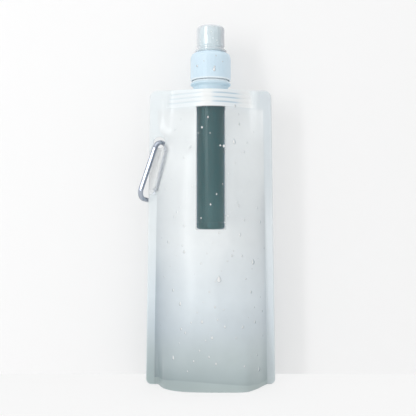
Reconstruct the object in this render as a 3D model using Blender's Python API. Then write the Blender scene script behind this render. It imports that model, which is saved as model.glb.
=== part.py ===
"""Stand-up pouch bottle with a screw-on drinking cap, a filter cartridge and a carabiner.

Metres, +Z up. The origin is on the floor, under the axis of the cap and the filter.
The pouch's front panel faces -Y, and its side seals lie in the plane Y = 0.
"""

import math

import bmesh
import bpy
from mathutils import Matrix, Vector

# Clearances between separate pieces
GAP = 0.0003
SLIP = 0.00025
THREAD_CLEARANCE = 0.00035

# Film pouch
FILM = 0.0005
POUCH_HEIGHT = 0.264
WIDTH_AT_BASE = 0.1165
WIDTH_AT_TOP = 0.109
SIDE_SEAL = 0.0074
TOP_SEAL = 0.0155
TOP_CORNER = 0.0065
BASE_CORNER = 0.005
BELLY_AT_BASE = 0.031
BELLY_AT_TOP = 0.018
BELLY_POWER = 1.6
BASE_BLEND = 0.054
WELD_BLEND = 0.048

# Plan of the opened base: bottom edge of each panel, as shares of the hollow's half width and
# of the half depth
BASE_HALF_DEPTH = 0.028
FRONT_EDGE = (
    (-0.93, 0.0),
    (-0.81, 0.52),
    (-0.57, 0.85),
    (-0.20, 0.98),
    (0.27, 1.0),
    (0.61, 0.94),
    (0.79, 0.59),
    (0.92, 0.21),
    (1.0, 0.0),
)
BACK_EDGE = (
    (-0.96, 0.0),
    (-0.77, 0.54),
    (-0.51, 0.86),
    (0.0, 0.98),
    (0.51, 0.86),
    (0.77, 0.54),
    (0.98, 0.0),
)

# Base gusset: a fin welded inside each panel's foot, a roll over it and a slope to the floor.
# The roll is given by its points, as shares of its size, and the slope by its middle point.
BASE_SEAL = 0.008
BASE_SEAL_SLANT = 0.055
GUSSET_ROLL = 0.0016
GUSSET_SLOPE = 0.0085
ROLL_POINTS = ((0.35, 0.85), (1.0, 1.0), (1.8, 0.6))
SLOPE_MIDDLE = (0.55, 0.62)
FLAT_CORNER = 0.25

# Hang hole, in a wider stretch of the left side seal
HOLE_RADIUS = 0.0050
HOLE_INSET = 0.0092
HOLE_DROP = 0.0467
HOLE_PAD = 0.0078
HOLE_PAD_SPREAD = 0.009

# Spout: the boat that the film is welded to, the neck, the support flange and the thread
BOAT_HALF_LENGTH = 0.036
BOAT_SHOULDER = 0.0011
BOAT_TIP = 0.0003
BOAT_TAPER = 1.5
BOAT_FOOT = 0.0005
BOAT_STAND = -0.0013
RIB_COUNT = 4
RIB_DEPTH = 0.0006
RIB_SHARE = 0.55
BORE_CLEARANCE = 0.0012
NECK_WALL = 0.00195
NECK_STAND = 0.0028
FLANGE_THICKNESS = 0.0036
FLANGE_FLARE = (0.35, 0.5)
COLLAR_STAND = 0.0014
FINISH_HEIGHT = 0.0233
THREAD_PITCH = 0.004
THREAD_TURNS = 1.25
THREAD_WIDTH = 0.0015
THREAD_CREST = 0.0006
THREAD_START = 0.25
THREAD_HEIGHT = 0.00085
THREAD_SINK = 0.0004
THREAD_BELOW_RIM = 0.0105

# Rim gasket and screw cap
GASKET_THICKNESS = 0.0013
CAP_WALL = 0.00115
CAP_LIFT = 0.0006
CAP_ROOF = 0.0018
CAP_SHOULDER = 0.0056
SOCKET_WALL = 0.0016
SOCKET_DEPTH = 0.0116
CHIMNEY_RADIUS = 0.0082
CHIMNEY_WALL = 0.0022
CHIMNEY_HEIGHT = 0.0140
CHIMNEY_RING_DROP = 0.0020
PIN_RADIUS = 0.0027
SPOKE_COUNT = 3
SPOKE_WIDTH = 0.0012
SPOKE_HEIGHT = 0.0035
SPOKE_DROP = 0.0035

# Push-pull nozzle
NOZZLE_WALL = 0.00125
NOZZLE_LIP = 0.0004
NOZZLE_BEAD = 0.0007
NOZZLE_BEAD_RISE = 0.0034
NOZZLE_ROOF = 0.0063
NOZZLE_WAIST = (1.3, 0.9)
NOZZLE_LIP_DROP = 0.55
NOZZLE_LIP_ROUND = 0.35
MOUTH_LENGTH = 0.0033

# Dust cover
COVER_ROOM = 0.0009
COVER_HEADROOM = 0.00115
COVER_WALL = 0.00125
COVER_CORNER = 0.0022
COVER_FLANGE = 0.00175
COVER_FLANGE_HEIGHT = 0.0027
COVER_GROOVE = 0.00065
COVER_GROOVE_HEIGHT = 0.0021

# Filter cartridge
FILTER_RADIUS = 0.0126
FILTER_LENGTH = 0.1442
FILTER_WALL = 0.0014
COLLAR_FLANGE = 0.0036
PLUG_WALL = 0.0016
PLUG_LENGTH = 0.004
SPIGOT_RADIUS = 0.0057
SPIGOT_BORE = 0.0030
O_RING_WIRE = 0.0006
O_RING_RISES = (0.0036, 0.0072)
END_CAP_HEIGHT = 0.0061
END_CAP_FLOOR = 0.0020
END_CAP_CORNER = 0.0022
INLET_HOLES = ((0.0, 1), (0.0058, 8))
INLET_RADIUS = 0.0012
SCREEN_THICKNESS = 0.0006
SCREEN_HOLES = ((0.0, 1), (0.0036, 6), (0.0074, 12))
SCREEN_HOLE_RADIUS = 0.0011
FELT_THICKNESS = 0.0020
CARBON_HEIGHT = 0.0365
POTTING_HEIGHT = 0.0076
FIBRE_RADIUS = 0.0007
FIBRE_SPACING = 0.0030

# Carabiner, drawn in its own plane from the gate's hinge: the gate stands on local Z at X = 0,
# the hinge line is local Y and the spine is at -X. Rod and gate are oval, deeper along local Y.
ROD_RADIUS = 0.002
ROD_DEEPER = 1.3
RING_LENGTH = 0.0535
RING_TOP_WIDTH = 0.017
RING_FOOT_WIDTH = 0.022
RING_CORNER = 0.0078
RING_CORNER_LIMIT = 0.48
RING_TILT = math.radians(15.2)
RING_TWIST = math.radians(57)
CROSSING_ANGLE = math.radians(24)
GATE_RADIUS = 0.0019
GATE_CHAMFER = 0.0005
SWING_CLEARANCE = 0.0004
ROD_STUB = 0.0006
GATE_TOP_GAP = 0.0007
TANG_INSET = 0.0004
TANG_THICKNESS = 0.0014
FORK_CLEARANCE = 0.0003
FORK_DEPTH = 0.0011
LATCH_WALL = 0.0010
LATCH_TONGUE = 0.0035
RIVET_RADIUS = 0.0006
RIVET_HEAD_RADIUS = 0.0011
RIVET_HEAD = 0.0004
PLUNGER_RADIUS = 0.00085
PLUNGER_LENGTH = 0.0020
SPRING_RADIUS = 0.00075
SPRING_WIRE = 0.00018
SPRING_TURNS = 6
SPRING_LENGTH = 0.0058

# Facets and angles
TURN_STEPS = 32
INNER_STEPS = 24
FINE_STEPS = 12
SMALL_STEPS = 6
SHOULDER_STEPS = 6
CORNER_STEPS = 4
PANEL_COLUMNS = 18
BODY_ROWS = 12
COIL_STEPS = 8
SMOOTH_ANGLE = math.radians(35)
FULL_TURN = 2 * math.pi

# Heights and radii that follow from the sizes above
WELD_FOOT = POUCH_HEIGHT - TOP_SEAL
HOLE_HEIGHT = POUCH_HEIGHT - HOLE_DROP
FLANGE_BOTTOM = POUCH_HEIGHT + NECK_STAND
FLANGE_TOP = FLANGE_BOTTOM + FLANGE_THICKNESS
RIM = FLANGE_TOP + FINISH_HEIGHT
CAP_BOTTOM = FLANGE_TOP + COLLAR_STAND + CAP_LIFT
CAP_CEILING = RIM + GASKET_THICKNESS + 2 * GAP
CAP_TOP = CAP_CEILING + CAP_ROOF
CHIMNEY_TOP = CAP_TOP + CHIMNEY_HEIGHT
NOZZLE_FOOT = CAP_TOP + 2 * GAP
NOZZLE_CEILING = CHIMNEY_TOP + 2 * GAP
NOZZLE_TOP = NOZZLE_CEILING + NOZZLE_ROOF
COVER_TOP = NOZZLE_TOP + COVER_HEADROOM + COVER_WALL
SOCKET_FOOT = CAP_CEILING - SOCKET_DEPTH
FILTER_TOP = SOCKET_FOOT - GAP
FILTER_BOTTOM = FILTER_TOP - FILTER_LENGTH
COLLAR_FOOT = FILTER_TOP - COLLAR_FLANGE

BORE_RADIUS = FILTER_RADIUS + BORE_CLEARANCE
NECK_RADIUS = BORE_RADIUS + NECK_WALL
BOAT_HALF_DEPTH = NECK_RADIUS + BOAT_SHOULDER
SPOUT_THREAD_RADIUS = NECK_RADIUS + THREAD_HEIGHT
SKIRT_RADIUS = SPOUT_THREAD_RADIUS + THREAD_CLEARANCE
CAP_RADIUS = SKIRT_RADIUS + CAP_WALL
SOCKET_RADIUS = SPIGOT_RADIUS + GAP
NOZZLE_BORE = CHIMNEY_RADIUS + SLIP
NOZZLE_RADIUS = NOZZLE_BORE + NOZZLE_WALL
COVER_BORE = NOZZLE_RADIUS + NOZZLE_BEAD + COVER_ROOM
COVER_RADIUS = COVER_BORE + COVER_WALL
BED_RADIUS = FILTER_RADIUS - FILTER_WALL - GAP

HINGE_SWEEP = math.hypot(GATE_RADIUS, GATE_RADIUS) + SWING_CLEARANCE
RING_FOOT = -(HINGE_SWEEP + ROD_STUB + RING_CORNER)
RING_TOP = RING_FOOT + RING_LENGTH
LATCH_ROD_END = RING_TOP - RING_CORNER - ROD_STUB
GATE_TOP = LATCH_ROD_END - GATE_TOP_GAP
TANG_HALF_WIDTH = ROD_RADIUS - TANG_INSET
PLUNGER_FOOT = TANG_HALF_WIDTH + GAP

COLOURS = {
    "film": ((0.60, 0.68, 0.70), 0.35, 0.0, 0.45),
    "spout_plastic": ((0.78, 0.88, 0.93), 0.30, 0.0, 1.0),
    "cap_plastic": ((0.62, 0.80, 0.88), 0.38, 0.0, 1.0),
    "clear_plastic": ((0.80, 0.87, 0.90), 0.10, 0.0, 0.4),
    "filter_plastic": ((0.055, 0.12, 0.12), 0.40, 0.0, 1.0),
    "silicone": ((0.75, 0.78, 0.80), 0.55, 0.0, 1.0),
    "steel_mesh": ((0.60, 0.61, 0.62), 0.35, 1.0, 1.0),
    "felt": ((0.82, 0.82, 0.80), 0.95, 0.0, 1.0),
    "carbon": ((0.02, 0.02, 0.02), 0.90, 0.0, 1.0),
    "membrane": ((0.88, 0.88, 0.86), 0.60, 0.0, 1.0),
    "aluminium": ((0.77, 0.79, 0.82), 0.18, 1.0, 1.0),
    "spring_steel": ((0.55, 0.55, 0.56), 0.30, 1.0, 1.0),
}


# Scene and object helpers


def clear_scene():
    for old in list(bpy.data.objects):
        bpy.data.objects.remove(old)


def material(name):
    """The Principled material of one finish, made once and shared."""
    found = bpy.data.materials.get(name)
    if found:
        return found
    colour, roughness, metallic, alpha = COLOURS[name]
    made = bpy.data.materials.new(name)
    made.use_nodes = True
    shader = made.node_tree.nodes["Principled BSDF"]
    shader.inputs["Base Color"].default_value = (*colour, 1.0)
    shader.inputs["Roughness"].default_value = roughness
    shader.inputs["Metallic"].default_value = metallic
    shader.inputs["Alpha"].default_value = alpha
    return made


def solid(name, mesh, finish, parent=None):
    """Puts a mesh in the scene as one named sub-part."""
    obj = bpy.data.objects.new(name, mesh)
    bpy.context.scene.collection.objects.link(obj)
    obj.parent = parent
    mesh.materials.append(material(finish))
    mesh.shade_smooth()
    mesh.set_sharp_from_angle(angle=SMOOTH_ANGLE)
    return obj


def helper(name, mesh, parent=None):
    """A cutter, or a shape that is joined into another piece."""
    obj = bpy.data.objects.new(name, mesh)
    bpy.context.scene.collection.objects.link(obj)
    obj.parent = parent
    obj.hide_render = True
    obj.display_type = "WIRE"
    return obj


def combine(obj, other, operation):
    step = obj.modifiers.new(other.name, "BOOLEAN")
    step.operation = operation
    step.object = other


def mesh_of(points, faces):
    mesh = bpy.data.meshes.new("shape")
    mesh.from_pydata([tuple(p) for p in points], [], faces)
    work = bmesh.new()
    work.from_mesh(mesh)
    bmesh.ops.recalc_face_normals(work, faces=work.faces)
    work.to_mesh(mesh)
    work.free()
    return mesh


# Shape makers


def arc(centre_r, centre_z, radius, start, end, steps):
    """Points of a round corner in a turned profile; angles in degrees from the +R direction."""
    points = []
    for i in range(steps + 1):
        angle = math.radians(start + (end - start) * i / steps)
        points.append((centre_r + radius * math.cos(angle), centre_z + radius * math.sin(angle)))
    return points


def turned(profile, steps=TURN_STEPS):
    """A closed solid of revolution about Z, from a closed outline of (radius, height)."""
    points, rings = [], []
    for radius, height in profile:
        start = len(points)
        count = steps if radius > 0 else 1
        for i in range(count):
            angle = FULL_TURN * i / steps
            points.append((radius * math.cos(angle), radius * math.sin(angle), height))
        rings.append((start, count))
    faces = []
    for (a, na), (b, nb) in zip(rings, rings[1:] + rings[:1]):
        if na == nb == 1:
            continue
        for i in range(steps):
            j = (i + 1) % steps
            corners = (a + i % na, a + j % na, b + j % nb, b + i % nb)
            faces.append(tuple(dict.fromkeys(corners)))
    return mesh_of(points, faces)


def disc(radius, bottom, top, steps=INNER_STEPS):
    return turned([(0, bottom), (radius, bottom), (radius, top), (0, top)], steps)


def ring(inner, outer, bottom, top, steps=TURN_STEPS):
    return turned([(inner, bottom), (outer, bottom), (outer, top), (inner, top)], steps)


def box(low, high):
    xs, ys, zs = zip(low, high)
    points = [(x, y, z) for x in xs for y in ys for z in zs]
    faces = [(0, 1, 3, 2), (4, 6, 7, 5), (0, 4, 5, 1), (2, 3, 7, 6), (0, 2, 6, 4), (1, 5, 7, 3)]
    return mesh_of(points, faces)


def lofted(loops):
    """A closed solid through loops of equal point count, with flat ends."""
    count = len(loops[0])
    points = [p for loop in loops for p in loop]
    faces = [tuple(range(count)), tuple(range(len(points) - count, len(points)))]
    for k in range(len(loops) - 1):
        a, b = k * count, (k + 1) * count
        for i in range(count):
            j = (i + 1) % count
            faces.append((a + i, a + j, b + j, b + i))
    return mesh_of(points, faces)


def joined(meshes):
    """Several separate closed shapes in one mesh."""
    points, faces = [], []
    for mesh in meshes:
        start = len(points)
        points += [v.co.copy() for v in mesh.vertices]
        faces += [tuple(start + v for v in p.vertices) for p in mesh.polygons]
    return mesh_of(points, faces)


def cylinder(radius, start, end, steps=INNER_STEPS):
    """A straight cylinder between two points."""
    start, end = Vector(start), Vector(end)
    mesh = disc(radius, 0.0, (end - start).length, steps)
    turn = (end - start).to_track_quat("Z", "Y").to_matrix().to_4x4()
    mesh.transform(Matrix.Translation(start) @ turn)
    return mesh


def swept(paths, radius, bevel_resolution):
    """Round rods along open paths, with filled ends."""
    curve = bpy.data.curves.new("path", "CURVE")
    curve.dimensions = "3D"
    curve.bevel_depth = radius
    curve.bevel_resolution = bevel_resolution
    curve.use_fill_caps = True
    for path in paths:
        spline = curve.splines.new("POLY")
        spline.points.add(len(path) - 1)
        for point, place in zip(spline.points, path):
            point.co = (*place, 1.0)
    guide = bpy.data.objects.new("path", curve)
    bpy.context.scene.collection.objects.link(guide)
    mesh = bpy.data.meshes.new_from_object(guide)
    bpy.data.objects.remove(guide)
    work = bmesh.new()
    work.from_mesh(mesh)
    bmesh.ops.remove_doubles(work, verts=work.verts, dist=radius * 0.01)
    bmesh.ops.recalc_face_normals(work, faces=work.faces)
    work.to_mesh(mesh)
    work.free()
    return mesh


def hole_grid(rings, radius, bottom, top):
    """Cutters for holes set out on circles about the axis; rings holds (circle radius, count)."""
    cutters = []
    for circle, count in rings:
        for i in range(count):
            angle = FULL_TURN * i / count
            place = (circle * math.cos(angle), circle * math.sin(angle))
            cutters.append(cylinder(radius, (*place, bottom), (*place, top), SMALL_STEPS))
    return joined(cutters)


def thread(crest, wall, start, outward):
    """A helical ridge standing on a round wall, tapered away at both ends."""
    steps = int(THREAD_TURNS * TURN_STEPS)
    root = wall - THREAD_SINK * outward
    half_root = THREAD_WIDTH / 2
    half_tip = THREAD_CREST / 2
    loops = []
    for i in range(steps + 1):
        angle = FULL_TURN * i / TURN_STEPS
        from_end = min(i, steps - i) * FULL_TURN / TURN_STEPS
        tip = root + (crest - root) * min(1.0, THREAD_START + from_end)
        height = start + THREAD_PITCH * i / TURN_STEPS
        section = ((root, -half_root), (tip, -half_tip), (tip, half_tip), (root, half_root))
        loops.append([(r * math.cos(angle), r * math.sin(angle), height + z) for r, z in section])
    return lofted(loops)


# Pouch outline and depth


def smooth_step(value, low, high):
    share = max(0.0, min(1.0, (value - low) / (high - low)))
    return share * share * (3 - 2 * share)


def slope_at(points, i):
    """Slope of the smooth curve at one of its points."""
    before, after = max(i - 1, 0), min(i + 1, len(points) - 1)
    return (points[after][1] - points[before][1]) / (points[after][0] - points[before][0])


def smooth_through(points, x):
    """Height of a smooth curve through a few points, zero beyond its ends."""
    if x <= points[0][0] or x >= points[-1][0]:
        return 0.0
    k = next(i for i in range(len(points) - 1) if x <= points[i + 1][0])
    (x0, y0), (x1, y1) = points[k], points[k + 1]
    span = x1 - x0
    t = (x - x0) / span
    start = (2 * t**3 - 3 * t**2 + 1) * y0 + (t**3 - 2 * t**2 + t) * span * slope_at(points, k)
    end = (3 * t**2 - 2 * t**3) * y1 + (t**3 - t**2) * span * slope_at(points, k + 1)
    return max(0.0, start + end)


def straight_half_width(z):
    return (WIDTH_AT_BASE + (WIDTH_AT_TOP - WIDTH_AT_BASE) * z / POUCH_HEIGHT) / 2


def corner_loss(from_end, radius):
    """How far a rounded corner draws the edge in, at a distance from the end."""
    radius = min(radius, SIDE_SEAL - FILM)
    if from_end >= radius:
        return 0.0
    return radius - math.sqrt(radius**2 - (radius - from_end) ** 2)


def half_width(z):
    """Half the film's width at a height, with its rounded corners."""
    loss = corner_loss(POUCH_HEIGHT - z, TOP_CORNER) + corner_loss(z, BASE_CORNER)
    return straight_half_width(z) - loss


def hollow_columns(z):
    """Places across the hollow between the side seals, from its left edge to its right."""
    wide = straight_half_width(z)
    pad = HOLE_PAD * math.exp(-(((z - HOLE_HEIGHT) / HOLE_PAD_SPREAD) ** 2))
    left, right = -wide + SIDE_SEAL + pad, wide - SIDE_SEAL
    return [left + (right - left) * i / PANEL_COLUMNS for i in range(PANEL_COLUMNS + 1)]


def boat_depth(x, inset=0.0):
    """Half the thickness of the spout's boat, which comes to a point at each end."""
    share = min(1.0, abs(x) / (BOAT_HALF_LENGTH - inset))
    return BOAT_TIP + (BOAT_HALF_DEPTH - inset - BOAT_TIP) * (1 - share**2) ** BOAT_TAPER


def belly_depth(x, z):
    """Half the thickness of the filled body: an arc between the side seals."""
    columns = hollow_columns(z)
    half = (columns[-1] - columns[0]) / 2
    off_centre = x - (columns[-1] + columns[0]) / 2
    if abs(off_centre) >= half:
        return 0.0
    loss = BELLY_AT_BASE - BELLY_AT_TOP
    belly = BELLY_AT_BASE - loss * min(1.0, z / WELD_FOOT) ** BELLY_POWER
    radius = (half**2 + belly**2) / (2 * belly)
    return math.sqrt(radius**2 - off_centre**2) - (radius - belly)


def foot_depth(x, edge):
    """Half depth of the opened base at a place across it."""
    hollow_half = straight_half_width(0.0) - SIDE_SEAL
    return BASE_HALF_DEPTH * smooth_through(edge, x / hollow_half)


def film_depth(x, z, edge):
    """Distance of a panel's inner face from the plane of the side seals."""
    top = smooth_step(z, WELD_FOOT - WELD_BLEND, WELD_FOOT)
    foot = 1 - smooth_step(z, BASE_SEAL, BASE_SEAL + BASE_BLEND)
    around_boat = 0.0
    if abs(x) < BOAT_HALF_LENGTH + TOP_CORNER:
        around_boat = boat_depth(x) + GAP
    depth = foot * foot_depth(x, edge) + top * around_boat + (1 - foot - top) * belly_depth(x, z)
    return max(GAP / 2, depth)


def panel_rows():
    """Heights of a panel's rows, closer at the hang hole and at the rounded corners."""
    turns = [math.pi / 2 * i / CORNER_STEPS for i in range(CORNER_STEPS + 1)]
    rows = [BASE_CORNER * (1 - math.cos(a)) for a in turns]
    rows += [POUCH_HEIGHT - TOP_CORNER * (1 - math.sin(a)) for a in turns]
    rows += [BASE_SEAL + (WELD_FOOT - BASE_SEAL) * i / BODY_ROWS for i in range(BODY_ROWS + 1)]
    rows += [HOLE_HEIGHT + HOLE_PAD_SPREAD * k / 2 for k in (-3, -1, 0, 1, 3)]
    kept = [0.0]
    for z in sorted(rows):
        if z - kept[-1] > FILM / 2:
            kept.append(z)
    kept[-1] = POUCH_HEIGHT
    return kept


def grid_faces(rows, columns):
    """Faces of a sheet whose points run along its rows, facing -Y where they run up and to +X."""
    faces = []
    for r in range(rows - 1):
        for c in range(columns - 1):
            a = r * columns + c
            faces.append((a, a + 1, a + columns + 1, a + columns))
    return faces


def film_sheet(name, points, faces):
    """A sheet of film, thickened on the side that its faces look to."""
    mesh = bpy.data.meshes.new(name)
    mesh.from_pydata(points, [], faces)
    obj = solid(name, mesh, "film")
    thick = obj.modifiers.new("film", "SOLIDIFY")
    thick.thickness = FILM
    thick.offset = 1.0
    thick.use_even_offset = True
    return obj


def panel(name, edge, side, hole_cutter):
    """One film panel, over the hollow and both side seals."""
    points = []
    rows = panel_rows()
    for z in rows:
        for x in [-half_width(z), *hollow_columns(z), half_width(z)]:
            points.append((x, side * film_depth(x, z, edge), z))
    faces = grid_faces(len(rows), PANEL_COLUMNS + 3)
    if side > 0:
        faces = [face[::-1] for face in faces]
    combine(film_sheet(name, points, faces), hole_cutter, "DIFFERENCE")


def hang_hole():
    """Centre of the hang hole, and the cutter that makes it."""
    centre = Vector((HOLE_INSET - straight_half_width(HOLE_HEIGHT), 0, HOLE_HEIGHT))
    reach = Vector((0, HOLE_RADIUS, 0))
    return centre, helper("hang_hole", cylinder(HOLE_RADIUS, centre - reach, centre + reach))


def fin_depth(columns, i, edge):
    """Half depth of a fin that stands inside a panel's foot, clear of it on slanted stretches."""
    before, here, after = (foot_depth(x, edge) for x in columns[i - 1 : i + 2])
    steepest = max(abs(here - before), abs(after - here)) / (columns[i + 1] - columns[i])
    return here - (GAP + FILM) * math.hypot(1, steepest)


def gusset_column(columns, i):
    """The base film across the pouch: up the front fin, over, along the floor, and back."""
    x = columns[i]
    front = fin_depth(columns, i, FRONT_EDGE)
    back = fin_depth(columns, i, BACK_EDGE)
    fin = BASE_SEAL - BASE_SEAL_SLANT * x
    shrink = min(1.0, min(front, back) / (GUSSET_ROLL + GUSSET_SLOPE + FILM))
    drop = fin * smooth_step(shrink, FLAT_CORNER, 1.0)
    roll = GUSSET_ROLL * shrink
    slope = GUSSET_SLOPE * shrink
    half = [
        (0.0, 0.0),
        (0.0, fin),
        *[(roll * inward, fin + roll * up) for inward, up in ROLL_POINTS],
        (roll + slope * SLOPE_MIDDLE[0], fin - drop * SLOPE_MIDDLE[1]),
        (roll + slope, fin - drop),
    ]
    column = [(x, inset - front, height) for inset, height in half]
    column.append((x, (back - front) / 2, fin - drop))
    return column + [(x, back - inset, height) for inset, height in reversed(half)]


def base_gusset():
    places = hollow_columns(0.0)
    columns = [gusset_column(places, i) for i in range(1, PANEL_COLUMNS)]
    points = [p for column in columns for p in column]
    faces = [face[::-1] for face in grid_faces(len(columns), len(columns[0]))]
    film_sheet("base_gusset", points, faces)


# Spout


def rib_levels():
    """Heights of the boat's ribs and grooves, each with how far the side is drawn in."""
    low = WELD_FOOT + BOAT_FOOT
    pitch = (POUCH_HEIGHT + BOAT_STAND - low) / (RIB_COUNT - 1 + RIB_SHARE)
    flank = pitch * (1 - RIB_SHARE) / 4
    levels = []
    for k in range(RIB_COUNT):
        start = low + k * pitch
        end = start + pitch * RIB_SHARE
        levels += [(start, 0.0), (end, 0.0)]
        if k < RIB_COUNT - 1:
            levels += [(end + flank, RIB_DEPTH), (start + pitch - flank, RIB_DEPTH)]
    return levels


def boat():
    """The ribbed body that the film is welded to, pointed at each end."""
    loops = []
    for height, inset in rib_levels():
        reach = BOAT_HALF_LENGTH - inset
        xs = [-reach * math.cos(math.pi * i / INNER_STEPS) for i in range(INNER_STEPS + 1)]
        front = [(x, -boat_depth(x, inset), height) for x in xs]
        loops.append(front + [(x, -y, z) for x, y, z in reversed(front)])
    return lofted(loops)


def spout():
    obj = solid("spout", boat(), "spout_plastic")
    low = POUCH_HEIGHT - TOP_SEAL / 2
    edge = NECK_WALL / 3
    flare, widest = [FLANGE_BOTTOM + FLANGE_THICKNESS * share for share in FLANGE_FLARE]
    neck = [
        (0, low),
        (NECK_RADIUS, low),
        (NECK_RADIUS, FLANGE_BOTTOM),
        (CAP_RADIUS - edge, flare),
        (CAP_RADIUS, widest),
        (CAP_RADIUS, FLANGE_TOP - edge),
        (CAP_RADIUS - edge, FLANGE_TOP),
        (SPOUT_THREAD_RADIUS, FLANGE_TOP),
        (SPOUT_THREAD_RADIUS, FLANGE_TOP + COLLAR_STAND),
        (NECK_RADIUS, FLANGE_TOP + COLLAR_STAND + edge),
        (NECK_RADIUS, RIM - edge),
        (NECK_RADIUS - edge, RIM),
        (0, RIM),
    ]
    combine(obj, helper("neck", turned(neck)), "UNION")
    ridge = thread(SPOUT_THREAD_RADIUS, NECK_RADIUS, RIM - THREAD_BELOW_RIM, 1)
    combine(obj, helper("spout_thread", ridge), "UNION")
    bore = cylinder(BORE_RADIUS, (0, 0, WELD_FOOT - TOP_SEAL), (0, 0, RIM + TOP_SEAL), TURN_STEPS)
    combine(obj, helper("spout_bore", bore), "DIFFERENCE")


def rim_gasket():
    low = RIM + GAP
    mesh = ring(BORE_RADIUS + GAP, NECK_RADIUS + GAP, low, low + GASKET_THICKNESS)
    solid("rim_gasket", mesh, "silicone")


# Cap, nozzle and cover


def ring_groove(radius, height):
    """The groove for an O-ring in the outside of a turned piece, from its foot to its head."""
    half = O_RING_WIRE + GAP / 2
    bottom = radius - 2 * O_RING_WIRE - GAP / 2
    return [
        (radius, height - half),
        (bottom, height - half),
        (bottom, height + half),
        (radius, height + half),
    ]


def o_ring(name, radius, height):
    """An O-ring whose outside is level with the surface that its groove is cut in."""
    section = arc(radius - O_RING_WIRE, height, O_RING_WIRE, 0, 360, SMALL_STEPS)[:-1]
    solid(name, turned(section, INNER_STEPS), "silicone")


def screw_cap():
    foot_round = CAP_WALL / 2
    outlet = SOCKET_RADIUS - 3 * GAP
    round_r, round_z = CAP_RADIUS - CAP_SHOULDER, CAP_TOP - CAP_SHOULDER
    shoulder = arc(round_r, round_z, CAP_SHOULDER, 0, 90, SHOULDER_STEPS)
    profile = [
        (SKIRT_RADIUS, CAP_BOTTOM),
        (CAP_RADIUS - foot_round, CAP_BOTTOM),
        (CAP_RADIUS, CAP_BOTTOM + foot_round),
        *shoulder,
        (CHIMNEY_RADIUS, CAP_TOP),
        *ring_groove(CHIMNEY_RADIUS, CHIMNEY_TOP - CHIMNEY_RING_DROP),
        (CHIMNEY_RADIUS, CHIMNEY_TOP),
        (CHIMNEY_RADIUS - CHIMNEY_WALL, CHIMNEY_TOP),
        (CHIMNEY_RADIUS - CHIMNEY_WALL, CAP_TOP),
        (outlet, CAP_TOP),
        (outlet, CAP_CEILING),
        (SOCKET_RADIUS, CAP_CEILING),
        (SOCKET_RADIUS, SOCKET_FOOT),
        (SOCKET_RADIUS + SOCKET_WALL, SOCKET_FOOT),
        (SOCKET_RADIUS + SOCKET_WALL, CAP_CEILING),
        (SKIRT_RADIUS, CAP_CEILING),
    ]
    obj = solid("screw_cap", turned(profile), "cap_plastic")
    start = RIM - THREAD_BELOW_RIM - THREAD_PITCH / 2
    ridge = thread(NECK_RADIUS + THREAD_CLEARANCE, SKIRT_RADIUS, start, -1)
    combine(obj, helper("cap_thread", ridge), "UNION")
    combine(obj, helper("valve_pin", valve_pin()), "UNION")
    top = CHIMNEY_TOP - SPOKE_DROP
    reach = CHIMNEY_RADIUS - CHIMNEY_WALL / 2
    half = SPOKE_WIDTH / 2
    for k in range(SPOKE_COUNT):
        spoke = box((PIN_RADIUS / 2, -half, top - SPOKE_HEIGHT), (reach, half, top))
        spoke.transform(Matrix.Rotation(FULL_TURN * k / SPOKE_COUNT, 4, "Z"))
        combine(obj, helper(f"spoke_{k + 1}", spoke), "UNION")


def valve_pin():
    """The pin on the spokes that plugs the nozzle's mouth while it is pushed down."""
    low = CHIMNEY_TOP - SPOKE_DROP - SPOKE_HEIGHT
    top = NOZZLE_TOP - GAP
    dome = PIN_RADIUS / 3
    profile = [(0, low), (PIN_RADIUS, low), (PIN_RADIUS, top - dome), (PIN_RADIUS - dome, top), (0, top)]
    return turned(profile, INNER_STEPS)


def drinking_nozzle():
    mouth = PIN_RADIUS + GAP
    rim = MOUTH_LENGTH / 4
    lip = NOZZLE_RADIUS + NOZZLE_LIP
    lip_round = NOZZLE_ROOF * NOZZLE_LIP_ROUND
    bead = NOZZLE_FOOT + NOZZLE_BEAD_RISE
    waist = [(NOZZLE_RADIUS - NOZZLE_LIP, NOZZLE_TOP - NOZZLE_ROOF * drop) for drop in NOZZLE_WAIST]
    profile = [
        (NOZZLE_BORE, NOZZLE_FOOT),
        (NOZZLE_RADIUS, NOZZLE_FOOT),
        (NOZZLE_RADIUS, bead - NOZZLE_BEAD),
        (NOZZLE_RADIUS + NOZZLE_BEAD, bead),
        (NOZZLE_RADIUS, bead + NOZZLE_BEAD),
        *waist,
        (lip, NOZZLE_TOP - NOZZLE_ROOF * NOZZLE_LIP_DROP),
        *arc(lip - lip_round, NOZZLE_TOP - lip_round, lip_round, 0, 90, CORNER_STEPS),
        (mouth + rim, NOZZLE_TOP),
        (mouth, NOZZLE_TOP - rim),
        (mouth, NOZZLE_TOP - MOUTH_LENGTH),
        (mouth + rim, NOZZLE_CEILING),
        (NOZZLE_BORE, NOZZLE_CEILING),
    ]
    solid("drinking_nozzle", turned(profile, INNER_STEPS), "cap_plastic")


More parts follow.
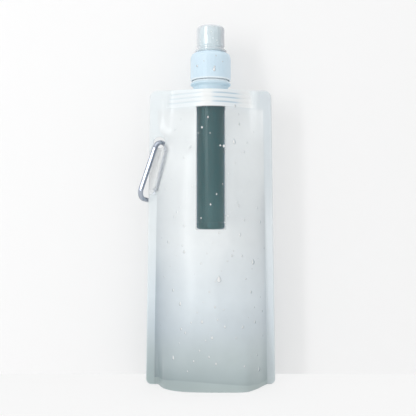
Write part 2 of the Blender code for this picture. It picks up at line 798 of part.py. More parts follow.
def dust_cover():
    foot = CAP_TOP + GAP
    flange_top = foot + COVER_FLANGE_HEIGHT
    groove_top = flange_top + COVER_GROOVE_HEIGHT
    flange = COVER_RADIUS + COVER_FLANGE
    groove = COVER_RADIUS - COVER_GROOVE
    snap = NOZZLE_RADIUS + NOZZLE_BEAD + GAP
    edge = COVER_GROOVE_HEIGHT / 4
    ceiling = COVER_TOP - COVER_WALL
    profile = [
        (snap, foot),
        (flange - edge, foot),
        (flange, foot + edge),
        (flange, flange_top - 2 * edge),
        (flange - 2 * edge, flange_top),
        (groove, flange_top + edge),
        (groove, groove_top - edge),
        (COVER_RADIUS - edge, groove_top),
        (COVER_RADIUS, groove_top + 2 * edge),
        *arc(COVER_RADIUS - COVER_CORNER, COVER_TOP - COVER_CORNER, COVER_CORNER, 0, 90, CORNER_STEPS),
        (0, COVER_TOP),
        (0, ceiling),
        (COVER_BORE - edge, ceiling),
        (COVER_BORE, ceiling - edge),
        (COVER_BORE, groove_top + edge),
        (snap, groove_top - edge),
    ]
    solid("dust_cover", turned(profile, INNER_STEPS), "clear_plastic")


# Filter cartridge, from the top down


def filter_collar():
    edge = COLLAR_FLANGE / 6
    foot = COLLAR_FOOT - PLUG_LENGTH
    top = CAP_CEILING - GAP
    grooves = []
    for rise in O_RING_RISES:
        grooves += ring_groove(SPIGOT_RADIUS, FILTER_TOP + rise)
    profile = [
        (BED_RADIUS - PLUG_WALL, foot),
        (BED_RADIUS, foot),
        (BED_RADIUS, COLLAR_FOOT),
        (FILTER_RADIUS, COLLAR_FOOT),
        (FILTER_RADIUS, FILTER_TOP - edge),
        (FILTER_RADIUS - edge, FILTER_TOP),
        (SPIGOT_RADIUS, FILTER_TOP),
        *grooves,
        (SPIGOT_RADIUS, top - edge),
        (SPIGOT_RADIUS - edge, top),
        (SPIGOT_BORE, top),
        (SPIGOT_BORE, COLLAR_FOOT),
        (BED_RADIUS - PLUG_WALL, COLLAR_FOOT),
    ]
    solid("filter_collar", turned(profile, INNER_STEPS), "filter_plastic")


def filter_housing():
    low = FILTER_BOTTOM + END_CAP_HEIGHT + GAP
    mesh = ring(FILTER_RADIUS - FILTER_WALL, FILTER_RADIUS, low, COLLAR_FOOT - GAP)
    solid("filter_housing", mesh, "filter_plastic")


def filter_end_cap():
    top = FILTER_BOTTOM + END_CAP_HEIGHT
    floor = FILTER_BOTTOM + END_CAP_FLOOR
    corner = END_CAP_CORNER
    profile = [
        (0, FILTER_BOTTOM),
        *arc(FILTER_RADIUS - corner, FILTER_BOTTOM + corner, corner, -90, 0, CORNER_STEPS),
        (FILTER_RADIUS, top),
        (BED_RADIUS, top),
        (BED_RADIUS, top + PLUG_LENGTH),
        (BED_RADIUS - PLUG_WALL, top + PLUG_LENGTH),
        (BED_RADIUS - PLUG_WALL, floor),
        (0, floor),
    ]
    obj = solid("filter_end_cap", turned(profile, INNER_STEPS), "filter_plastic")
    holes = hole_grid(INLET_HOLES, INLET_RADIUS, FILTER_BOTTOM - corner, floor + corner)
    combine(obj, helper("inlet_holes", holes), "DIFFERENCE")


def filter_contents():
    """The screen, pads, carbon bed and fibres, stacked inside the housing."""
    screen = FILTER_BOTTOM + END_CAP_HEIGHT + PLUG_LENGTH + GAP
    lower_felt = screen + SCREEN_THICKNESS + GAP
    carbon = lower_felt + FELT_THICKNESS + GAP
    upper_felt = carbon + CARBON_HEIGHT + GAP
    fibre_foot = upper_felt + FELT_THICKNESS + GAP
    potting_top = COLLAR_FOOT - PLUG_LENGTH - GAP
    net = solid("inlet_screen", disc(BED_RADIUS, screen, screen + SCREEN_THICKNESS), "steel_mesh")
    reach = 4 * SCREEN_THICKNESS
    holes = hole_grid(SCREEN_HOLES, SCREEN_HOLE_RADIUS, screen - reach, screen + reach)
    combine(net, helper("screen_holes", holes), "DIFFERENCE")
    solid("lower_felt_pad", disc(BED_RADIUS, lower_felt, lower_felt + FELT_THICKNESS), "felt")
    solid("carbon_bed", disc(BED_RADIUS, carbon, carbon + CARBON_HEIGHT), "carbon")
    solid("upper_felt_pad", disc(BED_RADIUS, upper_felt, upper_felt + FELT_THICKNESS), "felt")
    potting = disc(BED_RADIUS, potting_top - POTTING_HEIGHT, potting_top)
    bundle = solid("fibre_bundle", potting, "membrane")
    strands = swept(fibre_paths(fibre_foot, potting_top - POTTING_HEIGHT / 2), FIBRE_RADIUS, 0)
    combine(bundle, helper("strands", strands), "UNION")


def fibre_paths(low, high):
    """U-shaped hollow fibres, nested in rows, with both ends cast into the potting disc."""
    widest = BED_RADIUS - FIBRE_RADIUS - GAP
    bend = low + FIBRE_RADIUS + widest
    rows = int(widest / FIBRE_SPACING)
    paths = []
    for k in range(-rows, rows):
        y = (k + 0.5) * FIBRE_SPACING
        reach = math.sqrt(widest**2 - y**2)
        while reach > FIBRE_SPACING / 2:
            angles = [math.pi * i / SMALL_STEPS for i in range(SMALL_STEPS + 1)]
            turn = [(-reach * math.cos(a), y, bend - reach * math.sin(a)) for a in angles]
            paths.append([(-reach, y, high), *turn, (reach, y, high)])
            reach -= FIBRE_SPACING
    return paths


# Carabiner


def corner_round(before, corner, after, radius):
    """Centre of the arc that rounds a corner, and the two places where it meets the sides."""
    to_before = (before - corner).normalized()
    to_after = (after - corner).normalized()
    half = to_before.angle(to_after) / 2
    centre = corner + (to_before + to_after).normalized() * radius / math.sin(half)
    reach = radius / math.tan(half)
    return centre, corner + to_before * reach, corner + to_after * reach


def ring_corners():
    """The rounded corners of the ring: top right, top left, bottom left and bottom right."""
    spots = [
        Vector((0, 0, RING_TOP)),
        Vector((-RING_TOP_WIDTH, 0, RING_TOP)),
        Vector((-RING_FOOT_WIDTH, 0, RING_FOOT)),
        Vector((0, 0, RING_FOOT)),
    ]
    radius = min(RING_CORNER, RING_CORNER_LIMIT * min(RING_TOP_WIDTH, RING_FOOT_WIDTH))
    around = zip(spots[-1:] + spots[:-1], spots, spots[1:] + spots[:1])
    return [corner_round(*three, radius) for three in around]


def rod_path():
    """The bent rod, from the latch over the top, down the spine and round to the hinge."""
    path = [Vector((0, 0, LATCH_ROD_END))]
    for centre, start, end in ring_corners():
        radius = (start - centre).length
        for i in range(2 * CORNER_STEPS + 1):
            out = (start - centre).slerp(end - centre, i / (2 * CORNER_STEPS))
            path.append(centre + out.normalized() * radius)
    return path + [Vector((0, 0, -HINGE_SWEEP))]


def hang_point(hole):
    """An empty on the axis that the carabiner swings about, in the middle of the hang hole."""
    point = bpy.data.objects.new("hang_point", None)
    bpy.context.scene.collection.objects.link(point)
    point.location = hole
    return point


def gate_hinge(point):
    """An empty on the gate's hinge, placed so that the ring's rod passes the hang point."""
    along = Vector((math.sin(RING_TILT), 0, math.cos(RING_TILT)))
    side = Vector((math.cos(RING_TILT), 0, -math.sin(RING_TILT)))
    across = side * math.cos(RING_TWIST) + Vector((0, math.sin(RING_TWIST), 0))
    axes = Matrix((across, along.cross(across), along)).transposed()
    top_left, start, _ = ring_corners()[1]
    radius = (start - top_left).length
    lean = Vector((-math.sin(CROSSING_ANGLE), 0, math.cos(CROSSING_ANGLE)))
    hinge = bpy.data.objects.new("gate_hinge", None)
    bpy.context.scene.collection.objects.link(hinge)
    hinge.parent = point
    place = axes @ (top_left + lean * radius)
    hinge.matrix_basis = Matrix.Translation(-place) @ axes.to_4x4()
    return hinge


def hang_from(point, obj, hinge):
    """Hangs a piece drawn about the gate's hinge from the point that the ring swings on."""
    obj.parent = point
    obj.matrix_basis = hinge.matrix_basis


def across_gate(radius, half_length):
    """A cylinder on the gate's hinge line, square to the ring."""
    return cylinder(radius, (0, -half_length, 0), (0, half_length, 0), INNER_STEPS)


def carabiner_body(point, hinge):
    rod = swept([rod_path()], ROD_RADIUS, 3)
    rod.transform(Matrix.Diagonal((1, ROD_DEEPER, 1, 1)))
    body = solid("carabiner_body", rod, "aluminium")
    hang_from(point, body, hinge)
    half = TANG_THICKNESS / 2
    tang = box(
        (-TANG_HALF_WIDTH, -half, -HINGE_SWEEP - ROD_RADIUS),
        (TANG_HALF_WIDTH, half, 0),
    )
    combine(body, helper("hinge_tang", tang, hinge), "UNION")
    combine(body, helper("tang_eye", across_gate(TANG_HALF_WIDTH, half), hinge), "UNION")
    tongue = box(
        (LATCH_WALL + GAP - GATE_RADIUS, -half, LATCH_ROD_END - LATCH_TONGUE),
        (TANG_HALF_WIDTH, half, LATCH_ROD_END + ROD_RADIUS),
    )
    combine(body, helper("latch_tongue", tongue, hinge), "UNION")
    rivet_hole = across_gate(RIVET_RADIUS + GAP, ROD_RADIUS)
    combine(body, helper("tang_hole", rivet_hole, hinge), "DIFFERENCE")


def gate(hinge):
    slim = GATE_RADIUS - GATE_CHAMFER
    profile = [
        (0, -GATE_RADIUS),
        (slim, -GATE_RADIUS),
        (GATE_RADIUS, -slim),
        (GATE_RADIUS, GATE_TOP - GATE_CHAMFER),
        (slim, GATE_TOP),
        (0, GATE_TOP),
    ]
    mesh = turned(profile, FINE_STEPS)
    mesh.transform(Matrix.Diagonal((1, ROD_DEEPER, 1, 1)))
    obj = solid("carabiner_gate", mesh, "aluminium", hinge)
    half = TANG_THICKNESS / 2 + FORK_CLEARANCE
    reach = 2 * GATE_RADIUS
    fork = box((-reach, -half, -reach), (reach, half, TANG_HALF_WIDTH + FORK_DEPTH))
    combine(obj, helper("hinge_slot", fork, hinge), "DIFFERENCE")
    mouth = box(
        (LATCH_WALL - GATE_RADIUS, -half, LATCH_ROD_END - LATCH_TONGUE - GATE_TOP_GAP),
        (reach, half, GATE_TOP + reach),
    )
    combine(obj, helper("latch_slot", mouth, hinge), "DIFFERENCE")
    rivet_hole = across_gate(RIVET_RADIUS + GAP, reach)
    combine(obj, helper("gate_hole", rivet_hole, hinge), "DIFFERENCE")
    end = PLUNGER_FOOT + PLUNGER_LENGTH + SPRING_LENGTH + 2 * GAP
    bore = cylinder(PLUNGER_RADIUS + GAP, (0, 0, PLUNGER_FOOT), (0, 0, end), FINE_STEPS)
    combine(obj, helper("spring_bore", bore, hinge), "DIFFERENCE")


def gate_rivet(point, hinge):
    shank = GATE_RADIUS * ROD_DEEPER + GAP / 2
    bevel = RIVET_HEAD / 2
    profile = [
        (0, -shank - RIVET_HEAD),
        (RIVET_HEAD_RADIUS - bevel, -shank - RIVET_HEAD),
        (RIVET_HEAD_RADIUS, -shank),
        (RIVET_RADIUS, -shank),
        (RIVET_RADIUS, shank),
        (RIVET_HEAD_RADIUS, shank),
        (RIVET_HEAD_RADIUS - bevel, shank + RIVET_HEAD),
        (0, shank + RIVET_HEAD),
    ]
    mesh = turned(profile, FINE_STEPS)
    mesh.transform(Matrix.Rotation(math.pi / 2, 4, "X"))
    hang_from(point, solid("gate_rivet", mesh, "aluminium"), hinge)


def gate_spring(hinge):
    """The plunger that pushes on the hinge's tang, and the coil spring behind it."""
    head = PLUNGER_FOOT + PLUNGER_LENGTH
    plunger = cylinder(PLUNGER_RADIUS, (0, 0, PLUNGER_FOOT), (0, 0, head), FINE_STEPS)
    solid("gate_plunger", plunger, "spring_steel", hinge)
    count = SPRING_TURNS * COIL_STEPS
    coil = []
    for i in range(count + 1):
        angle = FULL_TURN * i / COIL_STEPS
        rise = SPRING_WIRE + (SPRING_LENGTH - 2 * SPRING_WIRE) * i / count
        place = (SPRING_RADIUS * math.cos(angle), SPRING_RADIUS * math.sin(angle), head + GAP + rise)
        coil.append(place)
    solid("gate_spring", swept([coil], SPRING_WIRE, 0), "spring_steel", hinge)


def main():
    clear_scene()
    hole, hole_cutter = hang_hole()
    panel("front_panel", FRONT_EDGE, -1, hole_cutter)
    panel("back_panel", BACK_EDGE, 1, hole_cutter)
    base_gusset()
    spout()
    rim_gasket()
    screw_cap()
    drinking_nozzle()
    o_ring("nozzle_o_ring", CHIMNEY_RADIUS, CHIMNEY_TOP - CHIMNEY_RING_DROP)
    dust_cover()
    filter_collar()
    for k, rise in enumerate(O_RING_RISES):
        o_ring(f"filter_o_ring_{k + 1}", SPIGOT_RADIUS, FILTER_TOP + rise)
    filter_housing()
    filter_end_cap()
    filter_contents()
    point = hang_point(hole)
    hinge = gate_hinge(point)
    carabiner_body(point, hinge)
    gate(hinge)
    gate_rivet(point, hinge)
    gate_spring(hinge)
    bpy.context.view_layer.update()


main()
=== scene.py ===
import math

import bmesh
import bpy
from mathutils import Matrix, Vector
from mathutils.geometry import intersect_point_line


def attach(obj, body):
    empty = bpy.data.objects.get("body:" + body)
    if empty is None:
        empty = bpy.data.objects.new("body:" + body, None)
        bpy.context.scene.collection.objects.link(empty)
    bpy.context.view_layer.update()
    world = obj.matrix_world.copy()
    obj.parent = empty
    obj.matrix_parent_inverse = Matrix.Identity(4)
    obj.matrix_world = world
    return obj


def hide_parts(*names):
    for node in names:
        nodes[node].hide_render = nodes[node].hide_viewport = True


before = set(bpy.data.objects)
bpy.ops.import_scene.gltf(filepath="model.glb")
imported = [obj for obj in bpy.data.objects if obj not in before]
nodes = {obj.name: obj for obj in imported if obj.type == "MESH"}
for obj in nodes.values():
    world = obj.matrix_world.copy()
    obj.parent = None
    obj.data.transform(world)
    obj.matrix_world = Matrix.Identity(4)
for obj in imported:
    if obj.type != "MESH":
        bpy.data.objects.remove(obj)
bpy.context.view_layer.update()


# Camera, level with the middle of the bottle

camera = {"place": (-0.0024, -0.594, 0.1584), "lens": 57.1, "sensor": 36.0, "pictureSide": 416}
focalPixels = camera["lens"] / camera["sensor"] * camera["pictureSide"]


def addCamera():
    data = bpy.data.cameras.new("camera")
    data.lens = camera["lens"]
    data.sensor_width = camera["sensor"]
    made = bpy.data.objects.new("camera", data)
    made.location = camera["place"]
    made.rotation_euler = (math.pi / 2, 0, 0)
    bpy.context.scene.collection.objects.link(made)
    bpy.context.scene.camera = made


# Materials: a value is one output socket, and arithmetic on it adds Math nodes


def opaque(colour):
    # a plain colour gets its fourth number, a value stays as it is
    return (*colour, 1.0) if isinstance(colour, tuple) else colour


class Value:
    def __init__(self, finish, socket):
        self.finish = finish
        self.socket = socket

    def maths(self, operation, first, second):
        return self.finish.node("ShaderNodeMath", {"operation": operation}, {0: first, 1: second})

    def __add__(self, other):
        return self.maths("ADD", self, other)

    def __sub__(self, other):
        return self.maths("SUBTRACT", self, other)

    def __rsub__(self, other):
        return self.maths("SUBTRACT", other, self)

    def __mul__(self, other):
        return self.maths("MULTIPLY", self, other)

    def __truediv__(self, other):
        return self.maths("DIVIDE", self, other)

    __radd__ = __add__
    __rmul__ = __mul__


class Finish:
    def __init__(self, name, tree=None):
        if tree is None:
            self.material = bpy.data.materials.new(name)
            self.material.use_nodes = True
            tree = self.material.node_tree
        self.tree = tree
        self.shader = tree.nodes.get("Principled BSDF")

    def node(self, kind, settings=None, inputs=None, output=0):
        made = self.tree.nodes.new(kind)
        for key, value in (settings or {}).items():
            if key == "stops":
                self.fillRamp(made.color_ramp, value)
            else:
                setattr(made, key, value)
        for key, value in (inputs or {}).items():
            self.join(value, made.inputs[key])
        return Value(self, made.outputs[output])

    def fillRamp(self, ramp, stops):
        while len(ramp.elements) < len(stops):
            ramp.elements.new(1.0)
        for element, (place, colour) in zip(ramp.elements, stops):
            element.position = place
            element.color = (*colour, 1.0)

    def join(self, value, socket):
        if isinstance(value, Value):
            self.tree.links.new(value.socket, socket)
        else:
            socket.default_value = value

    def paint(self, **sockets):
        for key, value in sockets.items():
            words = "".join(" " + letter if letter.isupper() else letter for letter in key).title()
            self.join(value, self.shader.inputs[words.replace("Ior", "IOR").strip()])

    def spot(self):
        return self.node("ShaderNodeTexCoord", output="Object")

    def axis(self, name):
        return self.node("ShaderNodeSeparateXYZ", None, {0: self.spot()}, name)

    def share(self, name):
        settings = {"attribute_type": "GEOMETRY", "attribute_name": name}
        return self.node("ShaderNodeAttribute", settings, output="Fac")

    def facing(self):
        # 0 where the surface is seen straight on, 1 where it is seen edge on
        return self.node("ShaderNodeLayerWeight", None, {"Blend": 0.5}, "Facing")

    def spread(self, value, low, high, newLow=0.0, newHigh=1.0):
        inputs = {0: value, 1: low, 2: high, 3: newLow, 4: newHigh}
        return self.node("ShaderNodeMapRange", {"interpolation_type": "SMOOTHSTEP"}, inputs)

    def grain(self, size, detail=2.0, roughness=0.5, stretch=(1, 1, 1)):
        place = self.node("ShaderNodeMapping", None, {"Vector": self.spot(), "Scale": stretch})
        inputs = {"Vector": place, "Scale": 1 / size, "Detail": detail, "Roughness": roughness}
        return self.node("ShaderNodeTexNoise", None, inputs)

    def cells(self, size, feature="F1", stretch=(1, 1, 1)):
        place = self.node("ShaderNodeMapping", None, {"Vector": self.spot(), "Scale": stretch})
        inputs = {"Vector": place, "Scale": 1 / size}
        return self.node("ShaderNodeTexVoronoi", {"feature": feature}, inputs)

    def ramp(self, value, stops):
        return self.node("ShaderNodeValToRGB", {"stops": stops}, {0: value})

    def tint(self, share, first, second, kind="MIX"):
        settings = {"data_type": "RGBA", "blend_type": kind}
        inputs = {0: share, 6: opaque(first), 7: opaque(second)}
        return self.node("ShaderNodeMix", settings, inputs, 2)

    def painted(self):
        # what the base colour is fed with so far
        return Value(self, self.shader.inputs["Base Color"].links[0].from_socket)

    def bumped(self, height, strength, distance, rounded=0.0):
        inputs = {"Strength": strength, "Distance": distance, "Height": height}
        if rounded:
            # softens the facets of a swept rod
            inputs["Normal"] = self.node("ShaderNodeBevel", {"samples": 6}, {"Radius": rounded})
        return self.node("ShaderNodeBump", None, inputs)


def shadeOf(level):
    return (level, level, level)


# Floor, backdrop and light

studio = {
    "reach": 3.0,
    "white": 0.956,
    "clothGrain": 0.004,
    "clothFlecks": 0.02,
    "fleckColour": (0.9, 0.9, 0.9),
    "floorColour": (0.93, 0.93, 0.93),
    "wallColour": (0.93, 0.93, 0.93),
    "floorGlow": 0.7,
    "wallGlow": 0.35,
    "wallDistance": 0.036,
    "skyLight": 0.78,
    # each light's place, size and power
    "lights": {
        "key": ((-0.80, -0.93, 0.42), (0.18, 0.80), 3.3),
        "top": ((0.0, -0.15, 0.95), (0.9, 0.9), 1.5),
    },
    "lightsAim": (0, 0, 0.15),
    # the card's ends, in degrees to the right of the camera's line of sight
    "cardEnds": (18, 80),
    "cardAway": 0.75,
    "cardFoot": 0.01,
    "cardHead": 0.75,
    "cardColour": (0.80, 0.87, 0.95),
    "cardFlecks": (0.03, 0.03, 0.04),
}


def seenRays(finish):
    # camera, glossy and transmitted rays see the studio's white
    rays = [finish.node("ShaderNodeLightPath", output=f"Is {kind} Ray") for kind in
            ("Camera", "Glossy", "Transmission")]
    return finish.node("ShaderNodeClamp", None, {0: rays[0] + rays[1] + rays[2]})


def stageFinish(name, colour, glow):
    finish = Finish(name)
    cloth = finish.grain(studio["clothGrain"], 3.0)
    shade = finish.tint(cloth * studio["clothFlecks"], colour, studio["fleckColour"])
    diffuse = finish.node("ShaderNodeBsdfDiffuse", None, {"Color": shade})
    light = finish.node("ShaderNodeEmission", None, {0: (*shadeOf(studio["white"]), 1), 1: 1.0})
    shown = finish.node("ShaderNodeMixShader", None, {0: seenRays(finish) * glow, 1: diffuse, 2: light})
    clear = finish.node("ShaderNodeBsdfTransparent")
    behind = finish.node("ShaderNodeNewGeometry", output="Backfacing")
    final = finish.node("ShaderNodeMixShader", None, {0: behind, 1: shown, 2: clear})
    finish.join(final, finish.tree.nodes["Material Output"].inputs[0])
    finish.tree.nodes.remove(finish.shader)
    return finish.material


def flatSheet(name, corners, material):
    mesh = bpy.data.meshes.new(name)
    mesh.from_pydata(corners, [], [tuple(range(len(corners)))])
    mesh.materials.append(material)
    made = bpy.data.objects.new(name, mesh)
    bpy.context.scene.collection.objects.link(made)
    return made


def areaLight(name, place, size, power, target):
    data = bpy.data.lights.new(name, "AREA")
    data.shape = "RECTANGLE"
    data.size, data.size_y = size
    data.energy = power
    made = bpy.data.objects.new(name, data)
    made.location = place
    made.rotation_euler = (Vector(place) - Vector(target)).to_track_quat("Z", "Y").to_euler()
    bpy.context.scene.collection.objects.link(made)


def addCard():
    # a mottled blue-grey sheet at the right that only glossy surfaces see
    finish = Finish("cardPaper")
    mottle = finish.grain(studio["clothGrain"], 3.0)
    paper = finish.tint(mottle, studio["cardColour"], studio["cardFlecks"])
    finish.paint(baseColor=paper, roughness=1.0)
    away, foot, head = studio["cardAway"], studio["cardFoot"], studio["cardHead"]
    turns = [math.radians(end) for end in studio["cardEnds"]]
    near, far = [(away * math.sin(turn), -away * math.cos(turn)) for turn in turns]
    corners = [(*near, foot), (*far, foot), (*far, head), (*near, head)]
    sheet = flatSheet("card", corners, finish.material)
    sheet.visible_camera = False
    sheet.visible_diffuse = False
    sheet.visible_shadow = False
    sheet.visible_transmission = False


def addStage():
    reach, y = studio["reach"], studio["wallDistance"]
    floor = stageFinish("floorPaper", studio["floorColour"], studio["floorGlow"])
    corners = [(-reach, -reach, 0), (reach, -reach, 0), (reach, reach, 0), (-reach, reach, 0)]
    flatSheet("floor", corners, floor)
    paper = stageFinish("backdropPaper", studio["wallColour"], studio["wallGlow"])
    corners = [(-reach, y, 0), (reach, y, 0), (reach, y, reach), (-reach, y, reach)]
    wall = flatSheet("backdrop", corners, paper)
    wall.visible_diffuse = False
    wall.visible_shadow = False
    world = bpy.data.worlds.new("studio")
    world.use_nodes = True
    sky = Finish("sky", world.node_tree)
    strength = studio["skyLight"] + seenRays(sky) * (studio["white"] - studio["skyLight"])
    background = world.node_tree.nodes["Background"]
    sky.join(strength, background.inputs["Strength"])
    background.inputs["Color"].default_value = (1, 1, 1, 1)
    bpy.context.scene.world = world
    for name, (place, size, power) in studio["lights"].items():
        areaLight(name, place, size, power, studio["lightsAim"])
    addCard()
    bpy.context.scene.view_settings.view_transform = "Standard"


# Film pouch: its outline, its depth and its two panels

pouch = {
    "height": 0.264,
    "widthAtBase": 0.1165,
    "widthAtTop": 0.109,
    "sideSeal": 0.0074,
    "topSeal": 0.0155,
    "topCorner": 0.0065,
    "baseCorner": 0.005,
    "bellyAtBase": 0.031,
    "bellyAtTop": 0.018,
    "bellyPower": 1.6,
    "baseSeal": 0.008,
    "baseBlend": 0.054,
    "weldBlend": 0.048,
    "baseHalfDepth": 0.028,
    "frontEdge": ((-0.93, 0), (-0.81, 0.52), (-0.57, 0.85), (-0.20, 0.98), (0.27, 1), (0.61, 0.94),
                  (0.79, 0.59), (0.92, 0.21), (1, 0)),
    "backEdge": ((-0.96, 0), (-0.77, 0.54), (-0.51, 0.86), (0, 0.98), (0.51, 0.86), (0.77, 0.54),
                 (0.98, 0)),
    "holeRadius": 0.0050,
    "holeInset": 0.0092,
    "holeDrop": 0.0467,
    "holeSnap": 1.4,
    "holePad": 0.0078,
    "padSpread": 0.009,
    "film": 0.0003,
    "stand": 0.0001,
    "gap": 0.0003,
    # how far the top edge sinks where the film goes round the boat
    "topDip": 0.0011,
    "dipUp": (-0.004, 0),
    "dipAcross": (0.1, 0.9),
    "leftSealColumns": 14,
    "rightSealColumns": 7,
    "chamberColumns": 60,
    "columnStep": 0.0006,
    # rows of the mesh: in a corner, over the fin, up the chamber, over the weld, beside the hole
    "cornerRows": 9,
    "finRows": (0.0125, 25),
    "chamberRows": 96,
    "weldRows": 44,
    "holeRows": (0.0066, 28),
    "leastRow": 0.00024,
    "weldEdge": 0.0008,
    # where the dents fade out: from the floor, below the weld and beside the seals
    "dentsFromFloor": (0.014, 0.034),
    "dentsFromWeld": (0.03, 0.004),
    "dentsFromSeal": 0.012,
    "finLine": ((-0.0520, 0.0063), (-0.050, 0.0063), (-0.029, 0.0093), (-0.012, 0.0089), (0.005, 0.0077),
                (0.0225, 0.0064), (0.036, 0.0050), (0.044, 0.0034), (0.050, 0.0044), (0.052, 0.0075)),
    "finReach": 0.0519,
    # the carabiner's middle line and half width, as they lie against the film
    "ringAxis": ((-0.0460, 0.2088), (-0.0533, 0.1789)),
    "ringHalfWidth": 0.0059,
    # the crease, whose shade is painted: heights and places across
    "crease": ((0.020, 0.0120), (0.045, 0.0096), (0.070, 0.0040), (0.088, 0.0019), (0.110, 0.0075),
               (0.131, 0.0148), (0.160, 0.0190)),
    # soft rises and dents: across, up, half sizes, height, lean in degrees
    "frontDents": (
        (-0.006, 0.098, 0.010, 0.034, 0.0007, 14),
        (0.018, 0.108, 0.009, 0.030, -0.0005, 14),
        (-0.026, 0.140, 0.010, 0.030, 0.0004, 4),
        (0.028, 0.070, 0.012, 0.026, 0.0004, -6),
        (-0.030, 0.060, 0.009, 0.028, -0.0005, 4),
        (0.030, 0.180, 0.008, 0.022, -0.0004, -8),
        (-0.028, 0.196, 0.007, 0.020, -0.0004, 10),
    ),
    "backDents": (
        (0.004, 0.110, 0.012, 0.036, 0.0006, -12),
        (-0.020, 0.090, 0.009, 0.030, -0.0005, -8),
        (0.026, 0.150, 0.010, 0.026, 0.0004, 8),
        (-0.024, 0.170, 0.010, 0.026, -0.0004, 6),
    ),
}

boat = {
    "halfLength": 0.036,
    "halfDepth": 0.01685,
    "tip": 0.0003,
    "taper": 1.5,
    "firstGroove": 0.0035,
    "groovePitch": 0.00387,
    "grooveCount": 3,
    "grooveHalfWidth": 0.0011,
    "grooveDepth": 0.00026,
    # past the boat's end the film stays welded this much further at the weld's foot
    "weldFlare": 0.0035,
    "weldFeather": (-0.003, 0.001),
}

weldFoot = pouch["height"] - pouch["topSeal"]
holeHeight = pouch["height"] - pouch["holeDrop"]


def smoothStep(value, low, high, before=0.0, after=1.0):
    # eases from one value below low to the other above high
    share = max(0.0, min(1.0, (value - low) / (high - low)))
    return before + (after - before) * share * share * (3 - 2 * share)


def steepness(points, i):
    before, after = max(i - 1, 0), min(i + 1, len(points) - 1)
    return (points[after][1] - points[before][1]) / (points[after][0] - points[before][0])


def smoothThrough(points, x):
    # a smooth curve through a few points, zero beyond its ends
    if x <= points[0][0] or x >= points[-1][0]:
        return 0.0
    k = next(i for i in range(len(points) - 1) if x <= points[i + 1][0])
    (x0, y0), (x1, y1) = points[k], points[k + 1]
    span = x1 - x0
    t = (x - x0) / span
    start = (2 * t**3 - 3 * t**2 + 1) * y0 + (t**3 - 2 * t**2 + t) * span * steepness(points, k)
    end = (3 * t**2 - 2 * t**3) * y1 + (t**3 - t**2) * span * steepness(points, k + 1)
    return max(0.0, start + end)


def straightHalfWidth(z):
    rise = z / pouch["height"]
    return (pouch["widthAtBase"] + (pouch["widthAtTop"] - pouch["widthAtBase"]) * rise) / 2


def cornerLoss(fromEnd, radius):
    if fromEnd >= radius:
        return 0.0
    return radius - math.sqrt(radius**2 - (radius - fromEnd) ** 2)


def halfWidth(z):
    loss = cornerLoss(pouch["height"] - z, pouch["topCorner"]) + cornerLoss(z, pouch["baseCorner"])
    return straightHalfWidth(z) - loss


def chamberSides(z):
    wide = straightHalfWidth(z)
    pad = pouch["holePad"] * math.exp(-(((z - holeHeight) / pouch["padSpread"]) ** 2))
    return -wide + pouch["sideSeal"] + pad, wide - pouch["sideSeal"]


def boatDepth(x):
    share = min(1.0, abs(x) / boat["halfLength"])
    return boat["tip"] + (boat["halfDepth"] - boat["tip"]) * (1 - share**2) ** boat["taper"]


def bellyDepth(x, z):
    left, right = chamberSides(z)
    half, offCentre = (right - left) / 2, x - (left + right) / 2
    if abs(offCentre) >= half:
        return 0.0
    loss = pouch["bellyAtBase"] - pouch["bellyAtTop"]
    belly = pouch["bellyAtBase"] - loss * min(1.0, z / weldFoot) ** pouch["bellyPower"]
    radius = (half**2 + belly**2) / (2 * belly)
    return math.sqrt(radius**2 - offCentre**2) - (radius - belly)


def footDepth(x, edge):
    across = x / (straightHalfWidth(0.0) - pouch["sideSeal"])
    return pouch["baseHalfDepth"] * smoothThrough(edge, across)


def filmDepth(x, z, edge):
    # the inner face of a panel, from the plane of the side seals
    top = smoothStep(z, weldFoot - pouch["weldBlend"], weldFoot)
    foot = smoothStep(z, pouch["baseSeal"], pouch["baseSeal"] + pouch["baseBlend"], 1, 0)
    aroundBoat = 0.0
    if abs(x) < boat["halfLength"] + pouch["topCorner"]:
        aroundBoat = boatDepth(x) + pouch["gap"]
    depth = foot * footDepth(x, edge) + top * aroundBoat + (1 - foot - top) * bellyDepth(x, z)
    return max(pouch["gap"] / 2, depth)


def dentRise(x, z, dents):
    fromWeld, toWeld = pouch["dentsFromWeld"]
    free = smoothStep(z, *pouch["dentsFromFloor"])
    free *= smoothStep(z, weldFoot - fromWeld, weldFoot - toWeld, 1, 0)
    left, right = chamberSides(z)
    aside = pouch["dentsFromSeal"]
    free *= smoothStep(x, left, left + aside) * smoothStep(x, right - aside, right, 1, 0)
    rise = 0.0
    for across, up, wide, tall, height, lean in dents:
        turn = math.radians(lean)
        u = (x - across) * math.cos(turn) - (z - up) * math.sin(turn)
        v = (x - across) * math.sin(turn) + (z - up) * math.cos(turn)
        rise += height * math.exp(-((u / wide) ** 2) - (v / tall) ** 2)
    return rise * free


def weldShare(x, z):
    # 1 where the panel is welded to the boat, feathered at the boat's ends
    reach = boat["halfLength"] + boat["weldFlare"] * (pouch["height"] - z) / pouch["topSeal"]
    ends = smoothStep(abs(x) - reach, *boat["weldFeather"], 1, 0)
    return ends * smoothStep(z, weldFoot - pouch["weldEdge"], weldFoot)


def groovePress(z):
    # 1 in the middle of a groove between the boat's ribs
    for k in range(boat["grooveCount"]):
        groove = weldFoot + boat["firstGroove"] + k * boat["groovePitch"]
        away = abs(z - groove) / boat["grooveHalfWidth"]
        if away < 1:
            return 0.5 + 0.5 * math.cos(math.pi * away)
    return 0.0


def ribRelief(x, z):
    return -boat["grooveDepth"] * groovePress(z) * weldShare(x, z)


def evenly(low, high, count):
    return [low + (high - low) * i / count for i in range(count + 1)]


